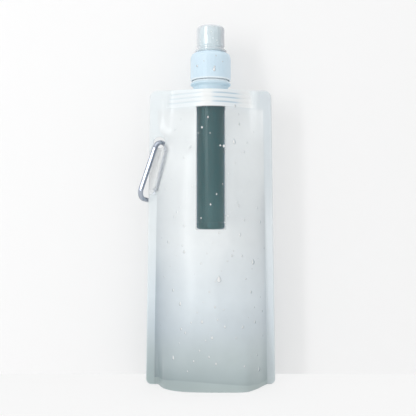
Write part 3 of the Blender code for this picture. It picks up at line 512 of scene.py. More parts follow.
def panelHeights():
    turns = evenly(0, math.pi / 2, pouch["cornerRows"])
    rows = [pouch["baseCorner"] * (1 - math.cos(turn)) for turn in turns]
    rows += [pouch["height"] - pouch["topCorner"] * (1 - math.sin(turn)) for turn in turns]
    finTop, finRows = pouch["finRows"]
    weldStart = weldFoot - pouch["weldEdge"]
    besideHole, holeRows = pouch["holeRows"]
    rows += evenly(0.0, finTop, finRows)
    rows += evenly(finTop, weldStart, pouch["chamberRows"])
    rows += evenly(weldStart, pouch["height"], pouch["weldRows"])
    rows += evenly(holeHeight - besideHole, holeHeight + besideHole, holeRows)
    kept = [0.0]
    for z in sorted(rows):
        if z - kept[-1] > pouch["leastRow"]:
            kept.append(z)
    kept[-1] = pouch["height"]
    return kept


def panelPlaces(z):
    left, right = chamberSides(z)
    step = pouch["columnStep"]
    places = evenly(-halfWidth(z), left, pouch["leftSealColumns"])
    places += evenly(left + step, right - step, pouch["chamberColumns"])
    return places + evenly(right, halfWidth(z), pouch["rightSealColumns"])


def creaseAcross(z):
    # where the painted shade right of the soft crease down the middle of the front begins
    places = pouch["crease"]
    if z <= places[0][0]:
        return places[0][1]
    for (low, lowX), (high, highX) in zip(places, places[1:]):
        if z <= high:
            return smoothStep(z, low, high, lowX, highX)
    return places[-1][1]


shades = {
    # painted shade beside the seals and over the fin, and the filter's painted shadow: strength at the
    # edge, then how far it reaches
    "fromLeft": (0.71, 0.018),
    "fromRight": (0.25, 0.008),
    "fromFilter": (0.15, 0.006),
    "overFin": (0.26, 0.0045),
    # all other pairs are spans that ease from 0 to 1, or between their third and fourth numbers
    "leftMiddle": (0.085, 0.13, 1, 0.65),
    "leftHigh": (0.130, 0.208, 1, 0.20),
    "rightLow": (0.02, 0.07, 0.55, 1),
    "rightMiddle": (0.09, 0.13, 1, 1.4),
    "rightHigh": (0.14, 0.20, 1, 0.1),
    "nearFloor": (0.004, 0.05, 0.6, 1),
    "finPaler": 0.6,
    # painted shade from the crease's line to its right, and up the crease
    "creaseAcross": (-0.0015, 0.0045, 0, 0.07),
    "creaseLow": (0.025, 0.07),
    "creaseHigh": (0.15, 0.20, 1, 0.4),
    # the filter's painted shadow to its right, and painted shade on the upper part of the right seal
    "filterSide": (0.0115, 0.0130),
    "filterEdge": 0.0150,
    "filterLow": (0.138, 0.150),
    "filterHigh": (0.236, 0.247, 1, 0),
    "upperRightAcross": (0.036, 0.048, 0, 0.28),
    "upperRightUp": (0.12, 0.19),
    # edges of the chamber from its seals and from the weld's foot, of the fin, and of the whole film
    "sealEdge": (-0.0003, 0.0006),
    "chamberTop": (-0.004, 0, 1, 0),
    "finEdge": (-0.0003, 0.0003, 1, 0),
    "finLeft": (-0.026, -0.002),
    "finRight": (0.028, 0.045, 1, 0.5),
    "rimEdge": (0.0, 0.0011, 1, 0),
    "floorEdge": 0.0004,
    # the right seal is pulled towards a pale blue-grey, painted light that is strongest low down
    "rightSealAcross": (0.04, 0.05),
    "rightSealUp": (0.12, 0.2, 1, 0.5),
    # the painted light of the weld's soft foot, painted shade in its grooves and its painted highlights
    "feather": 0.5,
    "featherUp": (-0.006, 0),
    "featherInner": (0.0125, 0.0165),
    "featherOuter": (-0.004, 0.004, 1, 0),
    "grooveLeft": (-0.002, 0.006, 0.3, 1),
    "grooveRight": (0.020, 0.031, 1, 0.15),
    "gleamMiddle": -0.0036,
    "gleamHalfWidth": 0.0052,
    "gleamRight": (0.020, 0.032),
    # along the carabiner's ring, and the painted light inside it that lifts the ring's shadow
    "thin": 0.72,
    "thinHalfWidth": 0.0027,
    "ringGleam": (-0.003, 0, 1, 0),
}


def fading(away, strength, length):
    return strength * math.exp(-away / length)


def sideShade(x, z):
    # painted shade: how much darker the chamber gets beside its seals and right of the crease
    left, right = chamberSides(z)
    leftShade = fading(x - left, *shades["fromLeft"])
    leftShade *= smoothStep(z, *shades["leftMiddle"]) * smoothStep(z, *shades["leftHigh"])
    rightShade = fading(right - x, *shades["fromRight"])
    for key in ("rightLow", "rightMiddle", "rightHigh"):
        rightShade *= smoothStep(z, *shades[key])
    crease = smoothStep(x - creaseAcross(z), *shades["creaseAcross"])
    crease *= smoothStep(z, *shades["creaseLow"]) * smoothStep(z, *shades["creaseHigh"])
    return (leftShade + rightShade + crease) * smoothStep(z, *shades["nearFloor"])


def filterShade(x, z):
    # the filter's painted shadow: the film's darker strip right of the filter
    across = smoothStep(x, *shades["filterSide"])
    across *= fading(max(0.0, x - shades["filterEdge"]), *shades["fromFilter"])
    return across * smoothStep(z, *shades["filterLow"]) * smoothStep(z, *shades["filterHigh"])


def paintedLightBelowWeld(x, z):
    # painted light below the weld's foot: the weld's white spreads softly down over the boat's shaded
    # underside, clear of the neck and of the boat's ends
    share = shades["feather"] * smoothStep(z - weldFoot, *shades["featherUp"])
    share *= smoothStep(abs(x), *shades["featherInner"])
    return share * smoothStep(abs(x) - boat["halfLength"], *shades["featherOuter"])


def fromRing(x, z):
    # distance to the carabiner's ring where it lies on the film, below zero inside it
    ringTop, ringFoot = (Vector((*place, 0)) for place in pouch["ringAxis"])
    spot = Vector((x, z, 0))
    along = max(0.0, min(1.0, intersect_point_line(spot, ringTop, ringFoot)[1]))
    return (spot - ringTop.lerp(ringFoot, along)).length - pouch["ringHalfWidth"]


def panelShares(x, z):
    # what the film's material reads at each point of a panel
    left, right = chamberSides(z)
    inChamber = smoothStep(min(x - left, right - x), *shades["sealEdge"])
    inChamber *= smoothStep(z - weldFoot, *shades["chamberTop"])
    sealed = 1 - inChamber
    finTop = smoothThrough(pouch["finLine"], max(-pouch["finReach"], min(pouch["finReach"], x)))
    fin = smoothStep(z - finTop, *shades["finEdge"])
    # painted shade beside the seals, right of the crease and over the fin, and the filter's painted
    # shadow
    shade = sideShade(x, z) + filterShade(x, z) + fading(max(0.0, z - finTop), *shades["overFin"])
    shade *= inChamber * (1 - shades["finPaler"] * fin)
    # painted shade on the upper part of the right seal
    upperRight = smoothStep(x, *shades["upperRightAcross"]) * smoothStep(z, *shades["upperRightUp"])
    shade += sealed * upperRight
    # painted light on the right seal, strongest low down
    rightSeal = smoothStep(x, *shades["rightSealAcross"]) * smoothStep(z, *shades["rightSealUp"])
    weld, ring = weldShare(x, z), fromRing(x, z)
    groove = smoothStep(x, *shades["grooveLeft"]) * smoothStep(x, *shades["grooveRight"])
    gleam = math.exp(-(((x - shades["gleamMiddle"]) / shades["gleamHalfWidth"]) ** 4))
    gleam += smoothStep(x, *shades["gleamRight"])
    outer = min(halfWidth(z) - abs(x), pouch["height"] - z, z + shades["floorEdge"])
    return {
        "shade": max(0.0, min(1.0, shade)),
        "sealed": sealed,
        "rightSeal": sealed * rightSeal,
        # the weld, with painted light spreading below its foot
        "weld": max(weld, paintedLightBelowWeld(x, z)),
        "thin": shades["thin"] * math.exp(-((ring / shades["thinHalfWidth"]) ** 2)),
        # painted shade in the weld's grooves, deeper right of the middle
        "groove": groovePress(z) * weld * groove,
        # painted highlights on the weld, and painted light inside the carabiner's ring
        "gleam": weld * gleam + smoothStep(ring, *shades["ringGleam"]),
        "rim": smoothStep(outer, *shades["rimEdge"]),
        "fin": fin * smoothStep(x, *shades["finLeft"]) * smoothStep(x, *shades["finRight"]),
    }


def meshPiece(name, mesh, material, body):
    made = bpy.data.objects.new(name, mesh)
    bpy.context.scene.collection.objects.link(made)
    mesh.materials.append(material)
    mesh.shade_smooth()
    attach(made, body)
    return made


def thicken(made, side):
    # the film's thickness, grown towards the side that its faces look to, or the other for -1
    thick = made.modifiers.new("film", "SOLIDIFY")
    thick.thickness = pouch["film"]
    thick.offset = side
    thick.use_even_offset = True


def giveShares(mesh, measure):
    # one float attribute for each share, read by the film's material
    columns = {}
    for vertex in mesh.vertices:
        for name, value in measure(vertex.co).items():
            columns.setdefault(name, []).append(value)
    for name, values in columns.items():
        mesh.attributes.new(name, "FLOAT", "POINT").data.foreach_set("value", values)


def cutHole(work):
    # the hang hole: faces within it go, and the points left round it move onto its circle
    centre = Vector((pouch["holeInset"] - straightHalfWidth(holeHeight), 0, holeHeight))
    flat = [(face, face.calc_center_median()) for face in work.faces]
    gone = [face for face, middle in flat if math.hypot(middle.x - centre.x, middle.z - centre.z)
            < pouch["holeRadius"]]
    bmesh.ops.delete(work, geom=gone, context="FACES")
    for vertex in work.verts:
        away = Vector((vertex.co.x - centre.x, 0, vertex.co.z - centre.z))
        if vertex.is_boundary and away.length < pouch["holeRadius"] * pouch["holeSnap"]:
            away = away.normalized() * pouch["holeRadius"]
            vertex.co.x, vertex.co.z = centre.x + away.x, centre.z + away.z


def filmPanel(name, side, edge, dents, material):
    rows = panelHeights()
    points = []
    for z in rows:
        for x in panelPlaces(z):
            depth = filmDepth(x, z, edge) + pouch["stand"]
            depth += dentRise(x, z, dents) + ribRelief(x, z)
            dip = pouch["topDip"] * smoothStep(z - pouch["height"], *pouch["dipUp"])
            dip *= smoothStep(boatDepth(x) / boat["halfDepth"], *pouch["dipAcross"])
            points.append(Vector((x, side * depth, z - dip)))
    wide = len(points) // len(rows)
    faces = []
    for r in range(len(rows) - 1):
        for c in range(wide - 1):
            a = r * wide + c
            face = (a, a + 1, a + wide + 1, a + wide)
            faces.append(face if side < 0 else face[::-1])
    work = bmesh.new()
    grid = [work.verts.new(point) for point in points]
    for face in faces:
        work.faces.new([grid[i] for i in face])
    cutHole(work)
    mesh = bpy.data.meshes.new(name)
    work.to_mesh(mesh)
    work.free()
    giveShares(mesh, lambda place: panelShares(place.x, place.z))
    made = meshPiece(name, mesh, material, "pouch")
    thicken(made, 1.0)
    return made


gusset = {
    "columns": 56,
    # columns left out at each end, where the fins meet
    "endColumns": 3,
    "roll": 0.0016,
    "rollTurn": math.pi * 0.62,
    "slope": 0.0085,
    "slopeEase": (-0.15, 1.0),
    "slant": 0.055,
    "flatCorner": 0.25,
    "leastShrink": 0.02,
    "filmInCad": 0.0005,
    "steps": 6,
    "floorSteps": 10,
}


def finDepth(places, i, edge):
    before, here, after = (footDepth(x, edge) for x in places[i - 1 : i + 2])
    steepest = max(abs(here - before), abs(after - here)) / (places[i + 1] - places[i])
    return here - (pouch["gap"] + gusset["filmInCad"] - pouch["stand"]) * math.hypot(1, steepest)


def gussetColumn(places, i):
    # up the front fin, over its roll, down the slope, along the floor and back
    x = places[i]
    front, back = finDepth(places, i, pouch["frontEdge"]), finDepth(places, i, pouch["backEdge"])
    fin = pouch["baseSeal"] - gusset["slant"] * x
    room = gusset["roll"] + gusset["slope"] + gusset["filmInCad"]
    shrink = max(gusset["leastShrink"], min(1.0, min(front, back) / room))
    drop = fin * smoothStep(shrink, gusset["flatCorner"], 1.0)
    roll, slope = gusset["roll"] * shrink, gusset["slope"] * shrink
    half = [(0.0, height) for height in evenly(0.0, fin, gusset["steps"])]
    for turn in evenly(0, gusset["rollTurn"], gusset["steps"])[1:]:
        half.append((roll * (1 - math.cos(turn)), fin + roll * math.sin(turn)))
    startInset, startHeight = half[-1]
    for t in evenly(0, 1, gusset["steps"])[1:]:
        inset = startInset + (roll + slope - startInset) * t
        half.append((inset, smoothStep(t, *gusset["slopeEase"], startHeight, fin - drop)))
    column = [(x, inset - front, height) for inset, height in half]
    floorEdge = half[-1][0]
    across = evenly(floorEdge - front, back - floorEdge, gusset["floorSteps"])
    column += [(x, inner, fin - drop) for inner in across[1:-1]]
    return column + [(x, back - inset, height) for inset, height in reversed(half)]


def baseGusset(material):
    left, right = chamberSides(0.0)
    places = evenly(left, right, gusset["columns"])
    ends = gusset["endColumns"]
    columns = [gussetColumn(places, i) for i in range(ends, gusset["columns"] + 1 - ends)]
    tall = len(columns[0])
    points = [point for column in columns for point in column]
    faces = []
    for c in range(len(columns) - 1):
        for r in range(tall - 1):
            a = c * tall + r
            faces.append((a, a + tall, a + tall + 1, a + 1))
    mesh = bpy.data.meshes.new("gussetFilm")
    mesh.from_pydata(points, [], faces)
    made = meshPiece("gussetFilm", mesh, material, "pouch")
    thicken(made, -1.0)
    return made


filmLook = {
    # colour of the film's middle, and cover of one face, from the floor to the top
    "colours": ((0.0, (0.505, 0.595, 0.59)), (0.05, (0.51, 0.595, 0.605)), (0.12, (0.62, 0.70, 0.715)),
                (0.20, (0.745, 0.818, 0.86)), (0.30, (0.875, 0.94, 0.975)), (0.50, (0.955, 0.99, 1.0))),
    "frontCover": ((0.0, 0.78), (0.12, 0.74), (0.30, 0.72), (0.46, 0.68), (0.56, 0.58), (0.68, 0.54),
                   (1.0, 0.60)),
    "backCover": ((0.0, 0.45), (0.10, 0.40), (0.20, 0.32), (0.30, 0.26), (0.50, 0.22), (1.0, 0.20)),
    "windowClear": 0.952,
    # where the filter presses against the film: the spans over which each side turns clear
    "windowLeft": (-0.0134, -0.0121),
    "windowRight": (0.0121, 0.0138),
    "windowFoot": (0.1392, 0.1403),
    "windowTop": (0.2473, 0.2485),
    # seen aslant over this span, only part of the window stays
    "windowSlant": (0.10, 0.23),
    "windowAslant": 0.4,
    "baseCover": ((0.0, 0.40), (1.0, 0.40)),
    # tints in their order: the share they follow, how much of it, colour and kind of mix
    "tints": (
        # painted shade beside the seals, right of the crease and the filter, over the fin and on the
        # upper right seal
        ("shade", 1.0, (0.30, 0.37, 0.43), "MULTIPLY"),
        ("sealed", 1.0, (0.95, 0.97, 0.98), "MULTIPLY"),
        ("fin", 0.24, (0.70, 0.80, 0.79), "MIX"),
        # painted light on the right seal, strongest low down
        ("rightSeal", 0.55, (0.82, 0.88, 0.92), "MIX"),
        # the weld's own white, and painted light below its foot
        ("weld", 1.0, (0.92, 0.975, 1.0), "MIX"),
        # painted shade in the weld's grooves, deeper right of the middle
        ("groove", 0.85, (0.46, 0.63, 0.76), "MIX"),
        # painted highlights on the weld, and painted light inside the carabiner's ring
        ("gleam", 0.9, (0.98, 1.0, 1.0), "MIX"),
        ("rim", 0.7, (0.93, 0.96, 0.98), "MIX"),
    ),
    "weldCover": 0.85,
    "rimCover": 0.05,
    "cloudGrain": 0.035,
    "cloudColour": 0.02,
    "cloudCover": 0.20,
    "frostGrain": 0.0009,
    "frostDepth": 0.0002,
    "roughness": 0.32,
}


def filterWindow(finish):
    # frosted film turns clear where it lies against the filter, less so when seen aslant
    look, across, up = filmLook, finish.axis("X"), finish.axis("Z")
    left = finish.spread(across, *look["windowLeft"])
    right = finish.spread(across, *look["windowRight"], 1.0, 0.0)
    foot = finish.spread(up, *look["windowFoot"])
    top = finish.spread(up, *look["windowTop"], 1.0, 0.0)
    aslant = finish.spread(finish.facing(), *look["windowSlant"], 1.0, look["windowAslant"])
    return left * right * foot * top * aslant


def filmFinish(name, coverName, isPanel):
    look = filmLook
    finish = Finish(name)
    height = finish.axis("Z") / pouch["height"]
    cloud = finish.grain(look["cloudGrain"], 3.0, 0.55) - 0.5
    colour = finish.ramp(height + cloud * look["cloudColour"], look["colours"])
    stops = [(place, shadeOf(cover)) for place, cover in look[coverName]]
    cover = finish.node("ShaderNodeRGBToBW", None, {0: finish.ramp(height, stops)})
    cover = cover * (1 + cloud * look["cloudCover"])
    if isPanel:
        for share, amount, tintColour, kind in look["tints"]:
            colour = finish.tint(finish.share(share) * amount, colour, tintColour, kind)
        cover = cover * (1 - filterWindow(finish) * look["windowClear"]) * (1 - finish.share("thin"))
        cover = cover + finish.share("rim") * look["rimCover"]
        cover = cover + finish.share("weld") * (look["weldCover"] - cover)
    frost = finish.grain(look["frostGrain"], 4.0, 0.6)
    finish.paint(
        baseColor=colour,
        alpha=cover,
        roughness=look["roughness"] + (frost - 0.5) * 0.12,
        ior=1.6 if isPanel else 1.3,
        coatWeight=0.4 if isPanel else 0.0,
        coatRoughness=0.32,
        normal=finish.bumped(frost, 0.05, look["frostDepth"]),
    )
    return finish.material


# Plastics, metals and the filter's contents


plasticLook = {
    # name of the finish: its colour, the deeper colour that it drifts to, and its roughness
    "spoutPlastic": ((0.62, 0.765, 0.85), (0.59, 0.745, 0.835), 0.34),
    "capPlastic": ((0.65, 0.795, 0.895), (0.62, 0.775, 0.88), 0.38),
    "nozzlePlastic": ((0.82, 0.945, 0.99), (0.79, 0.93, 0.98), 0.36),
    "softSilicone": ((0.70, 0.74, 0.76), (0.62, 0.66, 0.69), 0.55),
    "filterPlastic": ((0.014, 0.108, 0.119), (0.022, 0.119, 0.130), 0.36),
}


def mouldedFinish(name, grainSize=0.0006, depth=0.05):
    # moulded plastic: slow drift of colour, fine tool grain and faint flow lines
    colour, deeper, roughness = plasticLook[name]
    finish = Finish(name)
    drift = finish.grain(0.012, 2.0, 0.5, (1, 1, 0.6))
    fine = finish.grain(grainSize, 3.0, 0.6)
    scuffs = finish.spread(finish.grain(0.003, 5.0, 0.7, (1, 1, 0.25)), 0.60, 0.72)
    base = finish.tint(finish.spread(drift, 0.3, 0.7), colour, deeper)
    base = finish.tint(scuffs * 0.10, base, (0.95, 0.97, 0.98))
    finish.paint(
        baseColor=base,
        roughness=roughness + (fine - 0.5) * 0.10 + scuffs * 0.08,
        normal=finish.bumped(fine + scuffs * 0.3, depth, 0.0002),
    )
    return finish


def plainFinish(name):
    return mouldedFinish(name).material


spoutLook = {
    "bodyTop": (pouch["height"] - 0.0022, pouch["height"] - 0.0008),
    "flangeTop": (0.2698, 0.2706),
    "flangeShare": 0.5,
    "pale": (0.94, 0.97, 0.99),
}


def spoutFinish(name):
    # pale blue flange, nearly white where the film is welded on; from the flange's top up it is painted
    # half-way to white, painted light that lifts the shade in the gap under the cap
    finish = mouldedFinish(name)
    up = finish.axis("Z")
    low = finish.spread(up, *spoutLook["bodyTop"], 1.0, 0.0)
    # painted light from the flange's top up, under the cap
    high = finish.spread(up, *spoutLook["flangeTop"], 0.0, spoutLook["flangeShare"])
    finish.paint(baseColor=finish.tint(low + high, finish.painted(), spoutLook["pale"]))
    return finish.material


skirtLook = {"foot": (0.2729, 0.2741), "pale": (0.84, 0.92, 0.96)}


def capFinish(name):
    # painted light: the skirt's foot is painted paler, lifting the shade in the gap above the flange
    finish = mouldedFinish(name)
    low = finish.spread(finish.axis("Z"), *skirtLook["foot"], 1.0, 0.0)
    finish.paint(baseColor=finish.tint(low, finish.painted(), skirtLook["pale"]))
    return finish.material


coverLook = {
    # painted shade: where it turns darker, and denser, towards its right side
    "darkAcross": (0.0075, 0.0118),
    "dark": (0.44, 0.48, 0.53),
    "edge": (0.72, 0.76, 0.81),
}


def clearFinish(name):
    # hazy clear plastic, denser where it is seen edge on
    finish = Finish(name)
    haze = finish.grain(0.006, 3.0, 0.6)
    swirl = finish.spread(finish.grain(0.002, 5.0, 0.7, (1, 1, 0.2)), 0.58, 0.70)
    edge = finish.spread(finish.facing(), 0.2, 0.75)
    # painted shade on the right side, which also turns it denser
    thick = finish.spread(finish.axis("X"), *coverLook["darkAcross"])
    body = finish.tint(haze, (0.86, 0.955, 0.99), (0.90, 0.965, 0.99))
    body = finish.tint(edge, body, coverLook["edge"])
    finish.paint(
        baseColor=finish.tint(thick * 0.8, body, coverLook["dark"]),
        alpha=0.33 + haze * 0.05 + swirl * 0.03 + edge * 0.30 + thick * 0.15,
        roughness=0.06 + swirl * 0.10,
        ior=1.85,
        coatWeight=1.0,
        coatRoughness=0.03,
        coatIor=1.8,
        normal=finish.bumped(haze, 0.04, 0.0004),
    )
    return finish.material


filterLook = {
    "grain": 0.0020,
    "depth": 0.02,
    "share": 0.8,
    "top": (0.150, 0.245),
    "topColour": (0.010, 0.098, 0.110),
    "foot": (0.136, 0.185),
    "footColour": (0.050, 0.166, 0.176),
    "edge": (0.50, 0.90),
    "edgeColour": (0.002, 0.120, 0.260),
}


def filterFinish(name):
    # dark blue-green, deeper towards the top, with a painted sheen that turns it bluer where it is seen
    # edge on
    look = filterLook
    finish = mouldedFinish(name, look["grain"], look["depth"])
    top = finish.spread(finish.axis("Z"), *look["top"], 0.0, look["share"])
    foot = finish.spread(finish.axis("Z"), *look["foot"], look["share"], 0.0)
    # painted sheen: bluer where it is seen edge on
    edge = finish.spread(finish.facing(), *look["edge"], 0.0, look["share"])
    base = finish.tint(top, finish.painted(), look["topColour"])
    base = finish.tint(foot, base, look["footColour"])
    finish.paint(baseColor=finish.tint(edge, base, look["edgeColour"]))
    return finish.material


metalLook = {
    # name of the finish: its colour, the darker colour of dull places, and its roughness
    "polishedAluminium": ((0.44, 0.48, 0.55), (0.36, 0.40, 0.47), 0.05),
    "springSteel": ((0.56, 0.56, 0.57), (0.42, 0.42, 0.43), 0.26),
}


def metalFinish(name):
    # polished metal with fine draw lines, small scratches and a little dulling, painted darker towards
    # its outline as a painted dark reflection
    colour, darker, roughness = metalLook[name]
    finish = Finish(name)
    lines = finish.grain(0.0005, 3.0, 0.6, (1, 1, 0.08))
    dull = finish.spread(finish.grain(0.004, 3.0, 0.6), 0.45, 0.75)
    scratch = finish.spread(finish.cells(0.0012, "DISTANCE_TO_EDGE", (1, 1, 0.3)), 0.0, 0.03, 1.0, 0.0)
    # painted dark reflection towards the outline
    edge = finish.spread(finish.facing(), 0.45, 0.85, 0.0, 0.8)
    body = finish.tint(dull * 0.5 + lines * 0.2, colour, darker)
    finish.paint(
        baseColor=finish.tint(edge, body, (0.16, 0.18, 0.22)),
        metallic=1.0,
        roughness=roughness + lines * 0.04 + dull * 0.05 + scratch * 0.04,
        normal=finish.bumped(lines + scratch * 0.4, 0.05, 0.0001, 0.0010),
    )
    return finish.material


def meshFinish(name):
    # fine woven wire: two sets of round wires across each other
    finish = Finish(name)
    inputs = {"Vector": finish.spot(), "Scale": 900.0}
    wires = []
    for axis in ("X", "Y"):
        settings = {"wave_type": "BANDS", "bands_direction": axis, "wave_profile": "SIN"}
        wires.append(finish.node("ShaderNodeTexWave", settings, inputs, 1))
    height = finish.node("ShaderNodeMath", {"operation": "MAXIMUM"}, {0: wires[0], 1: wires[1]})
    finish.paint(
        baseColor=finish.tint(height, (0.18, 0.18, 0.19), (0.72, 0.73, 0.74)),
        metallic=1.0,
        roughness=0.5 - height * 0.2,
        normal=finish.bumped(height, 0.6, 0.0002),
    )
    return finish.material


def feltFinish(name):
    finish = Finish(name)
    fibres = finish.grain(0.0005, 6.0, 0.75, (1, 1, 4))
    tufts = finish.grain(0.003, 3.0, 0.6)
    finish.paint(
        baseColor=finish.tint(fibres * 0.6 + tufts * 0.3, (0.90, 0.90, 0.87), (0.68, 0.68, 0.65)),
        roughness=0.90 + fibres * 0.1,
        sheenWeight=0.3,
        normal=finish.bumped(fibres + tufts * 0.5, 0.8, 0.0004),
    )
    return finish.material


def carbonFinish(name):
    finish = Finish(name)
    granules = finish.cells(0.0011)
    dust = finish.grain(0.0002, 4.0, 0.7)
    finish.paint(
        baseColor=finish.tint(granules * 0.7 + dust * 0.3, (0.035, 0.034, 0.033), (0.008, 0.008, 0.009)),
        roughness=0.95 - granules * 0.35,
        normal=finish.bumped(1 - granules, 1.0, 0.0008),
    )
    return finish.material


def membraneFinish(name):
    finish = Finish(name)
    pores = finish.grain(0.0003, 4.0, 0.7, (1, 1, 0.1))
    finish.paint(
        baseColor=finish.tint(pores, (0.93, 0.93, 0.90), (0.80, 0.80, 0.76)),
        roughness=0.5 + pores * 0.2,
        normal=finish.bumped(pores, 0.3, 0.0001),
    )
    return finish.material


def waterFinish(name):
    # painted white in the middle and painted dark at the rim, standing in for light bent through the
    # drop, with a bright glint from its gloss
    finish = Finish(name)
    ripple = finish.grain(0.0008, 2.0)
    edge = finish.spread(finish.facing(), 0.08, 0.42)
    finish.paint(
        baseColor=finish.tint(edge, (1.0, 1.0, 1.0), (0.40, 0.50, 0.56)),
        alpha=0.70 + ripple * 0.10,
        roughness=0.04 + ripple * 0.03,
        ior=1.7,
        coatWeight=1.0,
        coatRoughness=0.02,
        coatIor=1.7,
    )
    return finish.material


nodeFinishes = {
    "spout": "spoutPlastic",
    "rim_gasket": "softSilicone",
    "screw_cap": "capPlastic",
    "drinking_nozzle": "nozzlePlastic",
    "nozzle_o_ring": "softSilicone",
    "dust_cover": "clearPlastic",
    "filter_collar": "filterPlastic",
    "filter_o_ring_1": "softSilicone",
    "filter_o_ring_2": "softSilicone",
    "filter_housing": "filterPlastic",
    "filter_end_cap": "filterPlastic",
    "inlet_screen": "wireMesh",
    "lower_felt_pad": "pressedFelt",
    "carbon_bed": "carbonGranules",
    "upper_felt_pad": "pressedFelt",
    "fibre_bundle": "hollowFibre",
    "carabiner_body": "polishedAluminium",
    "carabiner_gate": "polishedAluminium",
    "gate_rivet": "polishedAluminium",
    "gate_plunger": "springSteel",
    "gate_spring": "springSteel",
}


finishMakers = {
    "spoutPlastic": spoutFinish,
    "capPlastic": capFinish,
    "nozzlePlastic": plainFinish,
    "softSilicone": plainFinish,
    "clearPlastic": clearFinish,
    "filterPlastic": filterFinish,
    "wireMesh": meshFinish,
    "pressedFelt": feltFinish,
    "carbonGranules": carbonFinish,
    "hollowFibre": membraneFinish,
    "polishedAluminium": metalFinish,
    "springSteel": metalFinish,
}


def dressNodes():
    made = {name: maker(name) for name, maker in finishMakers.items()}
    for name, finishName in nodeFinishes.items():
        for slot in nodes[name].material_slots:
            slot.material = made[finishName]


# Water drops on the front panel, the cap and the cover

drops = {
    # place in the picture, in pixels, and half width in millimetres
    "pouch": (
        (235, 106, 0.8), (239, 124, 0.7), (194, 115, 0.3), (198, 133, 0.3), (210, 133, 0.3),
        (234, 142, 1.1), (224, 146, 0.8), (191, 147, 0.6), (244, 152, 0.6), (177, 212, 0.6),
        (239, 206, 0.6), (257, 208, 0.5), (201, 218, 0.4), (228, 216, 0.6), (244, 220, 0.6),
        (260, 222, 0.7), (184, 226, 0.6), (240, 235, 0.7), (168, 242, 0.7), (184, 252, 0.7),
        (232, 256, 0.6), (242, 256, 0.6), (253, 262, 1.2), (219, 280, 1.3), (173, 290, 0.7),
        (251, 292, 0.7), (180, 304, 0.8), (215, 307, 0.6), (225, 327, 0.6), (202, 322, 0.7),
        (181, 329, 0.6), (243, 327, 0.6), (255, 322, 0.7), (262, 311, 0.6), (212, 338, 0.7),
        (173, 358, 0.8), (209, 357, 0.6), (216, 364, 0.6), (257, 355, 0.6), (259, 369, 1.2),
    ),
    "scale": 1.5,
    # the finest drops: how many; then across, down and half width, each as its least and its
    # span; then the steps that spread the three evenly
    "fineCount": 80,
    "fineAcross": (157, 108),
    "fineDown": (112, 262),
    "fineSizes": (0.40, 0.40),
    "fineSteps": (0.6180, 0.7549, 0.4142),
    "cap": ((-0.0120, 0.2833, 0.9), (0.0030, 0.2795, 1.3), (0.0034, 0.2820, 0.7), (0.0046, 0.2915, 0.5),
            (0.0105, 0.2870, 0.5), (-0.0060, 0.2870, 0.4)),
    "cover": ((0.0020, 0.3083, 0.5), (0.0055, 0.3065, 0.6), (-0.0092, 0.3062, 0.4),
              (0.0005, 0.3140, 0.4)),
    "capRadius": 0.0181,
    "coverRadius": 0.01255,
    # a drop's shape, as shares of its half width, and how deep it is sunk into its ground
    "dome": 0.42,
    "tall": 1.25,
    "tails": 0.35,
    "turnedTails": 0.5,
    "narrowing": 0.35,
    "sunk": 0.00004,
    "rings": 5,
    "around": 14,
    # how the place under a pixel is found: depth tried first, and how often it is corrected
    "depthTried": 0.02,
    "corrections": 6,
    "slopeStep": 0.0004,
}


def onFront(across, down):
    # the place on the front panel that the camera sees at a pixel
    depth = drops["depthTried"]
    for _ in range(drops["corrections"]):
        away = -camera["place"][1] - depth
        x = camera["place"][0] + (across - camera["pictureSide"] / 2) * away / focalPixels
        z = camera["place"][2] - (down - camera["pictureSide"] / 2) * away / focalPixels
        depth = filmDepth(x, z, pouch["frontEdge"])
    return x, z


def frontSurface(x, z):
    depth = filmDepth(x, z, pouch["frontEdge"]) + pouch["stand"] + pouch["film"]
    return Vector((x, -depth - dentRise(x, z, pouch["frontDents"]) - ribRelief(x, z), z))


def addDrop(work, place, outward, up, size, tail):
    # a low dome with a teardrop outline and a closed foot
    aside = up.cross(outward).normalized()
    up = outward.cross(aside).normalized()
    rings, around, dome = drops["rings"], drops["around"], size * drops["dome"]
    loops = []
    for k in range(rings):
        turn = math.pi / 2 * k / rings
        loop = []
        for i in range(around):
            angle = 2 * math.pi * i / around
            towardsTip = max(0.0, math.sin(angle)) ** 2
            stretch = drops["tall"] + tail * towardsTip
            narrow = 1 - drops["narrowing"] * towardsTip
            reach = size * math.cos(turn)
            spot = aside * math.cos(angle) * reach * narrow + up * math.sin(angle) * reach * stretch
            rise = outward * (dome * math.sin(turn) - drops["sunk"])
            loop.append(work.verts.new(place + spot + rise))
        loops.append(loop)
    top = work.verts.new(place + outward * dome)
    work.faces.new(loops[0][::-1])
    for lower, upper in zip(loops, loops[1:]):
        for i in range(around):
            j = (i + 1) % around
            work.faces.new((lower[i], lower[j], upper[j], upper[i]))
    for i in range(around):
        work.faces.new((loops[-1][i], loops[-1][(i + 1) % around], top))


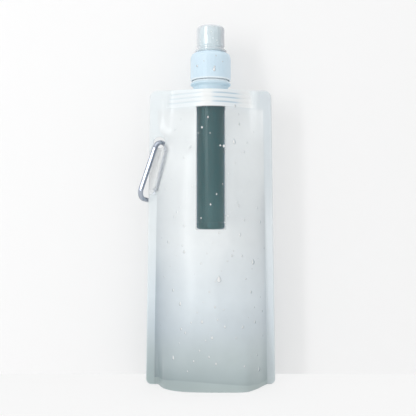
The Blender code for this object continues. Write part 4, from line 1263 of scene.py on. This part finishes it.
def dropPiece(name, work, material, body):
    mesh = bpy.data.meshes.new(name)
    work.to_mesh(mesh)
    work.free()
    meshPiece(name, mesh, material, body)


def pouchDrops(material):
    work = bmesh.new()
    step = drops["slopeStep"]
    spots = [(across, down, size * drops["scale"]) for across, down, size in drops["pouch"]]
    spans = [drops["fineAcross"], drops["fineDown"], drops["fineSizes"]]
    for k in range(drops["fineCount"]):
        shares = [(k * each) % 1.0 for each in drops["fineSteps"]]
        spots.append([start + span * share for (start, span), share in zip(spans, shares)])
    for k, (across, down, size) in enumerate(spots):
        x, z = onFront(across, down)
        place = frontSurface(x, z)
        slopeX = frontSurface(x + step, z) - frontSurface(x - step, z)
        slopeZ = frontSurface(x, z + step) - frontSurface(x, z - step)
        outward = slopeX.cross(slopeZ).normalized()
        if outward.y > 0:
            outward.negate()
        addDrop(work, place, outward, slopeZ.normalized(), size / 1000, (k % 3) * drops["tails"])
    dropPiece("pouchDrops", work, material, "pouch")


def turnedDrops(name, spots, radius, material, body):
    # drops on the upright side of the cap or the cover: across, up, half width in millimetres
    work = bmesh.new()
    for k, (x, z, size) in enumerate(spots):
        outward = Vector((x, -math.sqrt(radius**2 - x**2), 0)).normalized()
        place = outward * radius + Vector((0, 0, z))
        addDrop(work, place, outward, Vector((0, 0, 1)), size / 1000, (k % 2) * drops["turnedTails"])
    dropPiece(name, work, material, body)


addCamera()
addStage()
print("stage done")

frontFinish = filmFinish("frontPanelFilm", "frontCover", True)
backFinish = filmFinish("backPanelFilm", "backCover", True)
frontFilm = filmPanel("frontFilm", -1, pouch["frontEdge"], pouch["frontDents"], frontFinish)
backFilm = filmPanel("backFilm", 1, pouch["backEdge"], pouch["backDents"], backFinish)
baseFilm = baseGusset(filmFinish("basePlasticFilm", "baseCover", False))
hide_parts("front_panel")
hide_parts("back_panel")
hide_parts("base_gusset")
print("film done")

dressNodes()
print("plastics and metals done")

water = waterFinish("water")
pouchDrops(water)
turnedDrops("capDrops", drops["cap"], drops["capRadius"], water, "cap")
turnedDrops("coverDrops", drops["cover"], drops["coverRadius"], water, "cover")
print("water drops done")
